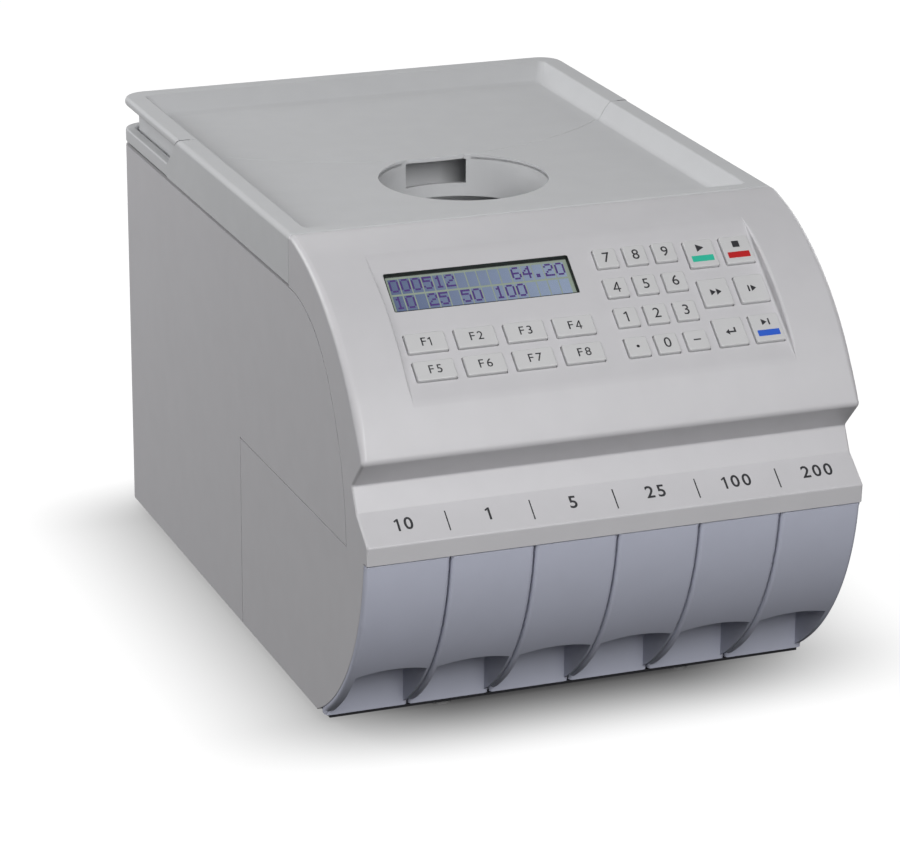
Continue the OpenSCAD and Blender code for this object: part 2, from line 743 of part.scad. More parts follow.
module front_pan() difference() {
  translate([-half_w, frame_y0, under_z])
    cube([body_w, tray_seam_y + slant_run - frame_y0, body_h - under_z]);
  both_sides() along_y(rim_front_y, rear_y) polygon([
    [inner_w, under_z - eps], [inner_w, body_h - skin],
    [rim_x + floor_t - wall_run * skin / tray_depth, body_h - skin],
    [floor_x + floor_t - wall_run * (floor_t + eps) / tray_depth, under_z - eps]
  ]);
  along_x(-arm_x, arm_x) swing_zone(-tray_gap);
  both_sides() along_x(arm_x, half_w + 1) slant_zone(0);
  translate([0, 0, under_z - eps]) linear_extrude(floor_t + eps) intersection() {
    spout_disc(tray_gap);
    rect(-half_w, spout_y - 2 * tray_gap, half_w, rear_y);
  }
  translate([0, mouth_y, under_z - eps]) cylinder(r = mouth_r, h = floor_t + 2 * eps);
  pan_space();
}
module mouth_collar() difference() {
  translate([0, mouth_y, under_z - collar_h]) cylinder(r = mouth_r + skin, h = collar_h + floor_t / 2);
  translate([0, mouth_y, under_z - collar_h - eps]) cylinder(r = mouth_r, h = collar_h + floor_t + 2 * eps);
  translate([0, 0, tip_low_z]) linear_extrude(floor_z - tip_low_z + eps) intersection() {
    spout_disc(2 * tray_gap);
    rect(-half_w, spout_y - 4 * tray_gap, half_w, rear_y);
  }
}
module frame_lap() {
  lap_y = frame_y0 + front_rim_w;
  lap_w = inner_w - fit_gap;
  translate([0, 0, cover_top_z - 3 * skin]) linear_extrude(4 * skin) wrap(lap_w - skin, lap_w, lap_y);
  translate([0, 0, frame_z0]) linear_extrude(skin) wrap(lap_w - skin, half_w - skin / 2, lap_y);
}
module tray_frame() color(tray_grey) difference() {
  union() {
    both_sides() along_x(inner_w, half_w) frame_side();
    translate([0, 0, frame_z0]) linear_extrude(band_h) wrap(half_w - band_w, half_w, tray_seam_y);
    translate([0, 0, frame_z0]) linear_extrude(rest_z - frame_z0)
      wrap(half_w - band_w - ledge_w, half_w - skin / 2, tray_seam_y + 2 * arm_r);
    front_pan();
    mouth_collar();
    frame_lap();
    both_sides() along_x(arm_x, inner_w + skin / 2) translate(hinge_p) circle(hinge_boss_r);
  }
  both_sides() along_x(arm_x - eps, inner_w + skin / 2) translate(hinge_p) circle(pin_r + run_gap);
  cover_screws() cylinder(r = shank_r + fit_gap / 2, h = 4 * skin);
}
module tray_hinge_pins() color(steel) both_sides()
  along_x(body_x - skin - fit_gap, inner_w + skin / 2) translate(hinge_p) circle(pin_r);
module tray_arm() difference() {
  translate(hinge_p) {
    circle(arm_r);
    rotate(-arm_a) translate([0, seam - arm_r]) square([arm_len, 2 * (arm_r - seam)]);
  }
  translate(hinge_p) circle(pin_r + run_gap);
}
module coin_tray() color(tray_grey) {
  difference() {
    intersection() {
      union() {
        translate([0, 0, body_h - lip_t]) linear_extrude(lip_t)
          rounded_back(half_w, tray_front_y, rear_y, corner_r);
        translate([0, 0, rest_z]) linear_extrude(body_h - lip_t - rest_z)
          rounded_back(body_x, tray_front_y, body_y, corner_r - lip_over);
      }
      union() {
        along_x(-arm_x, arm_x) swing_zone(0);
        both_sides() along_x(arm_x, half_w) slant_zone(tray_gap);
      }
    }
    pan_space();
    translate([0, 0, rest_z - eps]) linear_extrude(under_z - rest_z + eps)
      rounded_back(body_x - skin, hinge_p.x, body_y - skin, corner_r - lip_over - skin);
  }
  translate([0, 0, under_z]) linear_extrude(floor_t) intersection() {
    spout_disc(0);
    rect(-floor_x, spout_y, floor_x, tray_seam_y + swing_r);
  }
  both_sides() along_x(body_x - skin, body_x) tray_arm();
}

// Sorter
module deck_plate() color(steel) {
  difference() {
    translate([0, 0, deck_z]) linear_extrude(deck_t) rounded_back(deck_w, deck_front_y, deck_rear_y, corner_r);
    chute_slots(deck_z - eps, deck_top + eps);
    translate([0, mouth_y, deck_z - eps]) cylinder(r = bearing_r + fit_gap / 2, h = deck_t + 2 * eps);
    translate([0, motor_y, deck_z - eps]) cylinder(r = shaft_r + 2, h = deck_t + 2 * eps);
  }
  for (s = [-1, 1])
    translate([s * leg_x - leg_w / 2, deck_rear_y - deck_t, base_top])
      cube([leg_w, deck_t, deck_top - base_top]);
}
module chute_slots(z0, z1) for (i = [0:drawer_count - 1])
  translate([box_x(i), chute_y, 0]) block(chute_w, chute_d, z0, z1);
module coin_chutes() color(dark_grey) difference() {
  translate([0, chute_y, 0]) block(2 * inner_w - skin, chute_d + 2 * skin, deck_top, deck_top + chute_h);
  chute_slots(deck_top - eps, deck_top + chute_h + eps);
}
module bearing_housing() color(steel) translate([0, mouth_y, 0]) difference() {
  union() {
    translate([0, 0, deck_z - bearing_h]) cylinder(r = bearing_r, h = bearing_h + deck_t);
    translate([0, 0, deck_top]) cylinder(r = bearing_r + 4 * deck_t, h = deck_t);
  }
  translate([0, 0, deck_z - bearing_h - eps])
    cylinder(r = shaft_r + run_gap, h = bearing_h + 2 * deck_t + 2 * eps);
}
module turntable_shaft() color(steel) translate([0, mouth_y, deck_z - bearing_h - shaft_r])
  cylinder(r = shaft_r, h = disc_z + disc_t - deck_z + bearing_h + shaft_r);
module turntable() color(steel) translate([0, mouth_y, 0]) difference() {
  union() {
    translate([0, 0, disc_z]) cylinder(r = disc_r, h = disc_t);
    translate([0, 0, belt_z + belt_w + pulley_flange])
      cylinder(r = 2 * shaft_r, h = disc_z - belt_z - belt_w - pulley_flange);
  }
  translate([0, 0, deck_top]) cylinder(r = shaft_r, h = disc_lift + disc_t + eps);
}
module pulley(r, bore) translate([0, 0, belt_z]) difference() {
  union() {
    cylinder(r = r, h = belt_w);
    for (z = [-pulley_flange, belt_w + fit_gap])
      translate([0, 0, z]) cylinder(r = r + belt_t, h = pulley_flange - fit_gap);
    translate([0, 0, -fit_gap]) cylinder(r = r - fit_gap, h = belt_w + 2 * fit_gap);
  }
  translate([0, 0, -pulley_flange - eps]) cylinder(r = bore, h = belt_w + 2 * pulley_flange + 2 * eps);
}
module turntable_pulley() color(dark_grey) translate([0, mouth_y, 0]) pulley(pulley_r, shaft_r);
module sorting_head() color(steel) translate([0, mouth_y, 0]) {
  difference() {
    translate([0, 0, head_z]) cylinder(r = sorter_r, h = head_t);
    translate([0, 0, head_z - eps]) cylinder(r = head_bore, h = head_t + 2 * eps);
  }
  for (a = [45:90:315])
    rotate(a) translate([post_pcd_r, 0, deck_top]) cylinder(r = post_r, h = head_z - deck_top + eps);
}
module hopper() color(tray_grey) translate([0, mouth_y, 0]) rotate_extrude() polygon([
  [head_bore, head_top], [head_bore + 3 * skin, head_top], [head_bore + 3 * skin, head_top + skin],
  [head_bore + skin, head_top + skin], [head_bore + skin, head_top + 6 * skin],
  [hopper_r + skin, hopper_top], [hopper_r, hopper_top], [head_bore, head_top + 6 * skin]
]);
module drive_motor() color(dark_grey) translate([0, motor_y, 0]) difference() {
  union() {
    translate([0, 0, deck_z - motor_h]) cylinder(r = motor_r, h = motor_h);
    translate([0, 0, deck_z - motor_h - shaft_r]) cylinder(r = motor_r / 2, h = shaft_r + eps);
  }
  translate([0, 0, deck_z - motor_h / 2]) cylinder(r = shaft_r - 2 + run_gap, h = motor_h);
}
module motor_pulley() color(steel) translate([0, motor_y, 0]) {
  pulley(small_pulley_r, shaft_r - 3);
  translate([0, 0, deck_z - motor_h / 2 + fit_gap])
    cylinder(r = shaft_r - 2, h = belt_z + belt_w + pulley_flange - deck_z + motor_h / 2);
}
module belt_outline(g) {
  r0 = pulley_r + g;
  r1 = small_pulley_r + g;
  lean = asin((r0 - r1) / motor_dy);
  side = [cos(lean), sin(lean)];
  translate([0, mouth_y]) circle(r0);
  translate([0, motor_y]) circle(r1);
  polygon([
    [-r0 * side.x, mouth_y + r0 * side.y], [r0 * side.x, mouth_y + r0 * side.y],
    [r1 * side.x, motor_y + r1 * side.y], [-r1 * side.x, motor_y + r1 * side.y]
  ]);
}
module drive_belt() color(dark_grey) translate([0, 0, belt_z]) linear_extrude(belt_w) difference() {
  belt_outline(fit_gap + belt_t);
  belt_outline(fit_gap);
}

// Electrics
module power_supply() color(steel)
  translate([electrics_in - inner_w, inner_y - inlet_d - supply_gap - supply_d, base_top])
    cube([supply_w, supply_d, supply_h]);
module on_logic(x, y, z)
  translate([inner_w - electrics_in - logic_w + x, inner_y - logic_gap - logic_d + y, base_top + z])
    children();
module control_board() color(board_green) {
  on_logic(0, 0, logic_lift) {
    cube([logic_w, logic_d, board_t]);
    translate([logic_w / 5, logic_d / 5, board_t]) cube([logic_w / 3, logic_w / 3, chip_h]);
    translate([logic_w / 4, logic_d * 9 / 16, board_t]) cube([logic_w / 2, logic_d / 10, plug_h]);
    translate([logic_w * 3 / 4, logic_d / 8, board_t]) cube([logic_w / 7, logic_d * 3 / 8, rail_h]);
  }
  for (x = [logic_in, logic_w - logic_in], y = [logic_in, logic_d - logic_in])
    on_logic(x, y, 0) cylinder(r = boss_r, h = logic_lift);
}
module rocker_place() translate([rocker_x, rocker_y, inlet_z]) children();
module power_inlet() color(dark_grey) difference() {
  translate([inlet_x, 0, inlet_z]) {
    along_y(inlet_face_y - inlet_d, inlet_face_y) square([inlet_w, inlet_h], center = true);
    along_y(inner_y - skin, inner_y) square([inlet_w + 2 * skin, inlet_h + 2 * skin], center = true);
  }
  translate([socket_x, 0, inlet_z]) difference() {
    along_y(inlet_face_y - inlet_d + socket_floor, inlet_face_y + eps)
      square([socket_w, socket_h], center = true);
    for (x = [-prong_pitch, 0, prong_pitch]) translate([x, 0, x == 0 ? prong_w : -prong_w])
      along_y(inlet_face_y - inlet_d + socket_floor - prong_w, inlet_face_y - prong_h / 2)
        square([prong_w, prong_h], center = true);
  }
  rocker_place() {
    translate([-rocker_w / 2 - fit_gap, -inlet_d / 3, -rocker_h / 2 - rocker_dip])
      cube([rocker_w + 2 * fit_gap, inlet_d, rocker_h + 2 * rocker_dip]);
    rotate([0, 90, 0]) cylinder(r = shank_r + run_gap, h = rocker_w + 3 * rocker_dip, center = true);
  }
}
module power_switch() color(switch_black) rocker_place() {
  rotate([-rocker_swing / 2, 0, 0]) along_x(-rocker_w / 2, rocker_w / 2) polygon([
    [-rocker_deep, rocker_dip - rocker_h / 2], [rocker_bulge, -rocker_h / 2], [rocker_dip, 0],
    [rocker_bulge, rocker_h / 2], [-rocker_deep, rocker_h / 2 - rocker_dip]
  ]);
  rotate([0, 90, 0]) cylinder(r = shank_r, h = rocker_w + 3 * rocker_dip - 2 * fit_gap, center = true);
}
module pan_screw(length) {
  cylinder(r = shank_r, h = length);
  translate([0, 0, -head_h]) cylinder(r = head_r, h = head_h);
}
module screws() color(steel) {
  base_screws() pan_screw(base_t);
  cover_screws() translate([0, 0, head_h]) pan_screw(rear_y - head_h - deck_rear_y);
  board_places() translate([0, 0, -board_n - board_t]) pan_screw(board_t + shank_r);
}

front_housing();
rear_cover();
base_plate();
rubber_feet();
tray_frame();
coin_tray();
tray_hinge_pins();
display_window();
display_module();
key_mat();
keypad_board();
drawer_partitions();
deck_plate();
bearing_housing();
turntable_shaft();
turntable();
turntable_pulley();
sorting_head();
hopper();
coin_chutes();
drive_motor();
motor_pulley();
drive_belt();
control_board();
power_supply();
power_inlet();
power_switch();
screws();
for (i = [0:drawer_count - 1]) coin_drawer(i);
for (k = keys) key(k);
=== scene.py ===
"""Looks of a countertop coin sorter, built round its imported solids.

Sizes are in millimetres, +Z up, front towards -Y, in the frame of the solids.
"""
import math

import bmesh
import bpy
from mathutils import Euler, Matrix, Vector


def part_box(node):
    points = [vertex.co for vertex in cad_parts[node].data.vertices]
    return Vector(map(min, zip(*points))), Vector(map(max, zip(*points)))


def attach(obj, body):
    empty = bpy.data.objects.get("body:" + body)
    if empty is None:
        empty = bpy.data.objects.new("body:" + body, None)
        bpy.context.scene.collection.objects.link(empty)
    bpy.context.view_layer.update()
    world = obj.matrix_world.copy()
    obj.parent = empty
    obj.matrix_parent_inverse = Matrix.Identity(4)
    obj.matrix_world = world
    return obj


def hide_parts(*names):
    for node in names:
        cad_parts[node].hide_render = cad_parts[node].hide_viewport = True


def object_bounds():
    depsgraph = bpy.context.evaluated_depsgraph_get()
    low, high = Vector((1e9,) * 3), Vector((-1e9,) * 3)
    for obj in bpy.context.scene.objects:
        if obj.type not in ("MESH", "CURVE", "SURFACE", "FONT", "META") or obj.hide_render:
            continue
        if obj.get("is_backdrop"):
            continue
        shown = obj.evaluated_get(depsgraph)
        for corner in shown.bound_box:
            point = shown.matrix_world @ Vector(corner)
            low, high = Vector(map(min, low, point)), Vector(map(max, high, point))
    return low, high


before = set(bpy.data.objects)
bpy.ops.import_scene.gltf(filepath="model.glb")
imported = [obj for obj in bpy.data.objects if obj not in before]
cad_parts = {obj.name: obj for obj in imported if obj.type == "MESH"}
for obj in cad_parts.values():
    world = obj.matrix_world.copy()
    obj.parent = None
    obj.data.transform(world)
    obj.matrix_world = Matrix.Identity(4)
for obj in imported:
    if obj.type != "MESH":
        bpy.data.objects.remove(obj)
solids_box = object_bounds()

# Casing
MM = 0.001
LOW, HIGH = (corner / MM for corner in solids_box)
HALF_W = HIGH.x
FRONT_Y = LOW.y
REAR_Y = HIGH.y
TOP_Z = HIGH.z
SKIN = 2.5
SEAM = 0.4
GROOVE = 0.8
INNER_W = HALF_W - SKIN
FOOT_H = 5
SOFT_EDGE = 0.5
SHARP_ANGLE = math.radians(32)
ROUND_STEPS = 96
# How far a cutting shape runs past what it cuts
FAR = 20

# Console, as points in side view: (y, z)
CONSOLE_R = 151
CONSOLE_LEAD = math.radians(10.5)
CONSOLE_TOP_Y = FRONT_Y + 118.5
CONSOLE_BACK_Y = CONSOLE_TOP_Y + 4.5
CONSOLE_OUT = Vector((-math.sin(CONSOLE_LEAD), math.cos(CONSOLE_LEAD)))
CONSOLE_C = Vector((CONSOLE_TOP_Y, TOP_Z)) - CONSOLE_R * CONSOLE_OUT
EDGE_Z = 169
EDGE_A = math.acos((EDGE_Z - CONSOLE_C.y) / CONSOLE_R)
NOSE_LEAD = math.radians(1.4)
INNER_NOSE_LEAD = math.radians(1.5)
NOTCH = Vector((FRONT_Y + 23.5, 152.2))
FACET = Vector((FRONT_Y + 16.8, 139.5))
LIP = Vector((FRONT_Y, 126.4))
LIP_LOW = Vector((FRONT_Y + 2.5, 116))
LIP_FACE_LOW = Vector((FRONT_Y + 1.2, LIP_LOW.y))
TOP_SEAM_R = 1.2
NOSE_R = 3.5
NOTCH_R = 1.5
FACET_R = 2
LIP_R = 1.6
# Height and radius of the rounding along the casing's side edges
SIDE_RADII = ((0, 0.4), (115, 0.4), (118, 1.4), (165, 1.5), (172, 3), (190, 4.4), (235, 4.4), (TOP_Z, 3))

# Side cover's seam
COVER_TOP_Z = TOP_Z - 29.3
SEAM_R = 74.5
SEAM_LOW_R = 150
SEAM_JOIN = math.radians(55)
SEAM_DIR = Vector((-math.sin(SEAM_JOIN), math.cos(SEAM_JOIN)))
SEAM_FRONT_Y = FRONT_Y + 33
SEAM_FALL = SEAM_R + (SEAM_LOW_R - SEAM_R) * SEAM_DIR.y
SEAM_LOW_C = Vector((SEAM_FRONT_Y + SEAM_LOW_R, COVER_TOP_Z - SEAM_FALL))
SEAM_C = SEAM_LOW_C + (SEAM_LOW_R - SEAM_R) * SEAM_DIR
LOW_SEAM_Z = 116.5
LOW_SEAM_Y = FRONT_Y + 212.5

# Keypad flat: a chord of the console curve
FLAT_W = 2 * HALF_W - 64.4
FLAT_TOP_A = math.radians(20.7)
FLAT_LOW_A = math.radians(56.3)
FLAT_SLOPE = (FLAT_TOP_A + FLAT_LOW_A) / 2
FLAT_HALF_A = (FLAT_LOW_A - FLAT_TOP_A) / 2
FLAT_LEN = 2 * CONSOLE_R * math.sin(FLAT_HALF_A)
FLAT_LOW = CONSOLE_C + CONSOLE_R * Vector((-math.sin(FLAT_LOW_A), math.cos(FLAT_LOW_A)))
FLAT_BLEND = 3
FLAT_INNER_R = 1.2
FLAT_EDGE_R = 1.6
PANEL_T = 2.5
PANEL_INSET = 1
KEY_RISE = 2
KEY_GAP = 0.35
KEY_CORNER_R = 1
KEY_SOFT_R = 0.7
FLANGE_W = 1.2
FLANGE_N = -2.6
DISPLAY_X, DISPLAY_V = -49.9, 68.5
DISPLAY_W, DISPLAY_H = 103.7, 24.4
# Key groups: the first key's middle, the step from key to key and a key's size, each (across, up the flat)
FUNCTION_KEYS = ((-90.9, 18.1), (27.5, 17.2), (22, 11.8))
NUMBER_KEYS = ((22.1, 18), (16.9, 19), (12.4, 12))
CONTROL_KEYS = ((76.1, 20.7), (21.1, 25.5), (16.6, 17.2))
NUMBER_MARKS = ("point", "0", "minus", "1", "2", "3", "4", "5", "6", "7", "8", "9")

# Print: bold is how far a sign's outline is moved out, as a share of its size
PRINT_T = 0.02
NUMBER_SIZE = 8.8
CODE_SIZE = 7.2
LABEL_SIZE = 10.2
KEY_BOLD = 0.004
STRIP_BOLD = 0.016
LABEL_N = 0.03
LABEL_RISE = 1
SEPARATOR = (0.7, 12, 0.04)
SIGN_LIFT = 3.4
BAR_H = 3.8
BAR_SHARE = 0.76

# Drawers
DRAWER_R = 139.4
DRAWER_MID_Z = 127
DRAWER_C = Vector((LIP_LOW.x + math.sqrt(DRAWER_R**2 - (DRAWER_MID_Z - LIP_LOW.y)**2), DRAWER_MID_Z))
DRAWER_COUNT = 6
PITCH = 2 * HALF_W / DRAWER_COUNT
FRONT_T = 3
RIB_W = 2.5
DRAWER_WALL = 1.8
DRAWER_SLACK = 0.4
PARTITION_T = 2
RECESS_Y = FRONT_Y + 67
FRONT_BACK_Y = RECESS_Y + 3 * DRAWER_WALL
BOX_Y = RECESS_Y + 0.2
RECESS_Z = 45.6
RECESS_ARCH_R = 68
CEILING_Z = RECESS_Z + FRONT_T
DRAWER_LOW_A = math.pi - math.asin((DRAWER_C.x - RECESS_Y) / DRAWER_R)
DRAWER_SIDE_R = 2.2
DRAWER_END_R = 0.8

# Coin tray and its frame
FRAME_Y0 = CONSOLE_BACK_Y + SEAM
FRAME_Z0 = COVER_TOP_Z + 2.6 * GROOVE
BAND_Z = COVER_TOP_Z + SEAM + 9.9
BAND_W = 6
LEDGE_W = 9
REST_Z = BAND_Z - 3.5
RIM_W = 12
RIM_X = HALF_W - RIM_W
RIM_FRONT_W = 9
WALL_RUN = 6.5
FRONT_RUN = 2
REAR_RUN = 12
TRAY_DEPTH = 10.5
FLOOR_Z = TOP_Z - TRAY_DEPTH
FLOOR_T = 2.5
UNDER_Z = FLOOR_Z - FLOOR_T
FLOOR_X = RIM_X - WALL_RUN
UNDER_X = FLOOR_X - 6
SHELF_X = RIM_X + 3
RIM_R = 3
RIM_INNER_R = 1.5
FLOOR_R = 4
CORNER_R = 14
PAN_CORNER_R = 4
TRAY_LIP_Z = TOP_Z - 5
TRAY_LIP_R = 1.5
TRAY_RIM_R = 2.2
BODY_X = HALF_W - 8
ARM_X = BODY_X + 0.3
TRAY_GAP = 0.6
TRAY_SEAM_Y = FRONT_Y + 324
SLANT_RUN = 21
LEDGE_Y = TRAY_SEAM_Y + 6.4
HINGE = Vector((FRONT_Y + 309, TOP_Z - 6))
SWING_R = (Vector((TRAY_SEAM_Y, TOP_Z)) - HINGE).length
ARM_R = 3.2
ARM_DROP = math.radians(42)
ARM_LEN = 22
EYE_R = 1.65
SPOUT_R = 172
SPOUT_Y = FRONT_Y + 276.5
SPOUT_HALF = FLOOR_X - 2.5
MOUTH_R = 48
MOUTH_Y = FRONT_Y + 232
COLLAR_H = 22
THROAT_R = 40
THROAT_H = 15
SCREEN_Z = UNDER_Z - 5
# Room in the mouth's collar for the spout when the tray is tipped
TIP_R = (Vector((SPOUT_Y, UNDER_Z)) - HINGE).length
TIP_BACK = HINGE.x - MOUTH_Y - MOUTH_R - SKIN
TIP_LOW_Z = HINGE.y - math.sqrt(TIP_R**2 - TIP_BACK**2) - SKIN / 2


# Outlines

def arc(centre, radius, start, end, steps):
    """Points round a centre; angles are measured from straight up towards the front."""
    turns = [start + (end - start) * i / steps for i in range(steps + 1)]
    return [(centre[0] - radius * math.sin(a), centre[1] + radius * math.cos(a)) for a in turns]


def rounded(corners, steps=6):
    """An outline of (a, b, radius) corners in which each corner with a radius is an arc."""
    points = []
    for i, (a, b, radius) in enumerate(corners):
        here = Vector((a, b))
        if not radius:
            points.append(here)
            continue
        before = (Vector(corners[i - 1][:2]) - here).normalized()
        after = (Vector(corners[(i + 1) % len(corners)][:2]) - here).normalized()
        half = before.angle(after) / 2
        centre = here + (before + after).normalized() * radius / math.sin(half)
        first = here + before * radius / math.tan(half) - centre
        turn = (math.pi - 2 * half) * math.copysign(1, before.cross(after))
        points += [centre + Matrix.Rotation(-turn * j / steps, 2) @ first for j in range(steps + 1)]
    return points


def rectangle(width, height, radius, x=0, y=0):
    half_w, half_h = width / 2, height / 2
    ends = ((-half_w, -half_h), (half_w, -half_h), (half_w, half_h), (-half_w, half_h))
    return [Vector((x, y)) + p for p in rounded([(a, b, radius) for a, b in ends], steps=4)]


def between(table, value):
    """The value read off a table of (place, value) pairs by straight lines."""
    for (a, low), (b, high) in zip(table, table[1:]):
        if value <= b:
            return low + (high - low) * (value - a) / (b - a)
    return table[-1][1]


# Meshes

def new_piece(name, mesh):
    piece = bpy.data.objects.new(name, mesh)
    bpy.context.scene.collection.objects.link(piece)
    return piece


def piece_from(name, points, faces, place=Matrix()):
    mesh = bpy.data.meshes.new(name)
    mesh.from_pydata([place @ Vector(p) * MM for p in points], [], faces)
    work = bmesh.new()
    work.from_mesh(mesh)
    bmesh.ops.recalc_face_normals(work, faces=work.faces)
    work.to_mesh(mesh)
    work.free()
    return new_piece(name, mesh)


def loft(name, rings, place=Matrix()):
    """A closed solid through rings of as many points each."""
    count = len(rings[0])
    faces = [tuple(range(count)), tuple(range((len(rings) - 1) * count, len(rings) * count))]
    for start in range(0, (len(rings) - 1) * count, count):
        for i in range(count):
            j = (i + 1) % count
            faces.append((start + i, start + j, start + count + j, start + count + i))
    return piece_from(name, [p for ring in rings for p in ring], faces, place)


def prism(name, outline, axis, low, high, place=Matrix()):
    """An outline in the other two axes, drawn out along this axis from low to high."""
    lay = {
        "x": lambda a, b, t: (t, a, b),
        "y": lambda a, b, t: (a, t, b),
        "z": lambda a, b, t: (a, b, t),
    }[axis]
    return loft(name, [[lay(a, b, t) for a, b in outline] for t in (low, high)], place)


def block(name, low, high):
    outline = [(low[0], low[1]), (high[0], low[1]), (high[0], high[1]), (low[0], high[1])]
    return prism(name, outline, "z", low[2], high[2])


def settle(piece):
    """Makes a piece's modifiers part of its mesh."""
    graph = bpy.context.evaluated_depsgraph_get()
    before = piece.data
    mesh = bpy.data.meshes.new_from_object(piece.evaluated_get(graph))
    piece.modifiers.clear()
    piece.data = mesh
    bpy.data.meshes.remove(before)
    return piece


def combine(piece, operation, others):
    for other in others:
        modifier = piece.modifiers.new(operation, "BOOLEAN")
        modifier.operation = operation
        modifier.solver = "EXACT"
        modifier.object = other
    settle(piece)
    for other in others:
        bpy.data.objects.remove(other)
    return piece


def cut(piece, *tools):
    return combine(piece, "DIFFERENCE", tools)


def unite(piece, *others):
    return combine(piece, "UNION", others)


def ease(piece, width, angle=50, segments=2):
    """Rounds the edges that turn by more than an angle."""
    modifier = piece.modifiers.new("ease", "BEVEL")
    modifier.width = width * MM
    modifier.segments = segments
    modifier.limit_method = "ANGLE"
    modifier.angle_limit = math.radians(angle)
    modifier.use_clamp_overlap = True
    return settle(piece)


def smooth(piece):
    """Shades a piece smooth, with its flat faces flat and its sharp edges sharp."""
    piece.data.shade_smooth()
    piece.data.set_sharp_from_angle(angle=SHARP_ANGLE)
    modifier = piece.modifiers.new("smooth", "WEIGHTED_NORMAL")
    modifier.keep_sharp = True
    return settle(piece)


def solid_copy(node):
    """A copy of a solid, with its triangles joined into whole faces."""
    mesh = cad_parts[node].data.copy()
    mesh.materials.clear()
    work = bmesh.new()
    work.from_mesh(mesh)
    bmesh.ops.remove_doubles(work, verts=work.verts, dist=0.001 * MM)
    bmesh.ops.dissolve_limit(work, angle_limit=math.radians(0.3), verts=work.verts, edges=work.edges)
    work.to_mesh(mesh)
    work.free()
    return new_piece(node + "_look", mesh)


def merge(name, parts):
    """One piece out of several, with a material for each."""
    materials = []
    work = bmesh.new()
    for part, material in parts:
        if material not in materials:
            materials.append(material)
        first = len(work.faces)
        work.from_mesh(part.data)
        work.faces.ensure_lookup_table()
        for face in work.faces[first:]:
            face.material_index = materials.index(material)
        bpy.data.objects.remove(part)
    mesh = bpy.data.meshes.new(name)
    work.to_mesh(mesh)
    work.free()
    for material in materials:
        mesh.materials.append(material)
    return new_piece(name, mesh)


def paint(piece, material):
    piece.data.materials.clear()
    piece.data.materials.append(material)
    return piece


def dress(piece, body, slot, *nodes):
    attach(piece, body)
    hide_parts(*nodes)


# Materials

GRAIN = 0.05
GRAIN_SCALE = 2200
GRAIN_DEPTH = 0.1


def linear(red, green, blue):
    """A colour as seen on a screen, from 0 to 255, as the renderer takes it."""
    shares = [c / 255 for c in (red, green, blue)]
    return (*[s / 12.92 if s <= 0.04045 else ((s + 0.055) / 1.055) ** 2.4 for s in shares], 1)


def new_material(name):
    material = bpy.data.materials.new(name)
    material.use_nodes = True
    return material, material.node_tree.nodes, material.node_tree.links


def set_inputs(node, values):
    for name, value in values.items():
        node.inputs[name].default_value = value


def noise(nodes, links, scale):
    where = nodes.new("ShaderNodeTexCoord")
    texture = nodes.new("ShaderNodeTexNoise")
    texture.inputs["Scale"].default_value = scale
    links.new(where.outputs["Object"], texture.inputs["Vector"])
    return texture.outputs["Fac"]


def add_grain(nodes, links, strength, scale):
    bump = nodes.new("ShaderNodeBump")
    set_inputs(bump, {"Strength": strength, "Distance": GRAIN_DEPTH * MM})
    links.new(noise(nodes, links, scale), bump.inputs["Height"])
    links.new(bump.outputs["Normal"], nodes["Principled BSDF"].inputs["Normal"])


def two_tone(name, first, second, roughness, grain=GRAIN, metallic=0.0):
    """A grained finish between two tones, and the socket that takes how far it is from the first one."""
    material, nodes, links = new_material(name)
    shader = nodes["Principled BSDF"]
    set_inputs(shader, {"Roughness": roughness, "Metallic": metallic})
    tone = nodes.new("ShaderNodeMix")
    tone.data_type = "RGBA"
    set_inputs(tone, {"A": first, "B": second})
    links.new(tone.outputs["Result"], shader.inputs["Base Color"])
    add_grain(nodes, links, grain, GRAIN_SCALE)
    return material, nodes, links, tone.inputs["Factor"]


def surface(name, colour, roughness, shade=0.94, tone_scale=60, grain=GRAIN, metallic=0.0):
    """A grained finish whose tone drifts a little over the piece."""
    dark = (*[c * shade for c in colour[:3]], 1)
    material, nodes, links, factor = two_tone(name, dark, colour, roughness, grain, metallic)
    links.new(noise(nodes, links, tone_scale), factor)
    return material


def sheened_display_cell(name, far, sheen_tone):
    """The display's cells, with a painted sheen: their colour runs from the far tone at their left-hand end
    to a lighter tone at their right-hand end.
    """
    material, nodes, links, factor = two_tone(name, far, sheen_tone, 0.5)
    where = nodes.new("ShaderNodeTexCoord")
    split = nodes.new("ShaderNodeSeparateXYZ")
    across = nodes.new("ShaderNodeMapRange")
    half = DISPLAY_W / 2
    set_inputs(across, {"From Min": (DISPLAY_X - half) * MM, "From Max": (DISPLAY_X + half) * MM})
    links.new(where.outputs["Object"], split.inputs["Vector"])
    links.new(split.outputs["X"], across.inputs["Value"])
    links.new(across.outputs["Result"], factor)
    return material


def clear_sheet(name, colour, share):
    """A clear sheet: a share of it shows as a glossy surface and the rest lets the view through."""
    material, nodes, links = new_material(name)
    set_inputs(nodes["Principled BSDF"], {"Roughness": 0.08, "Base Color": colour, "Alpha": share})
    add_grain(nodes, links, 0.02, 300)
    return material


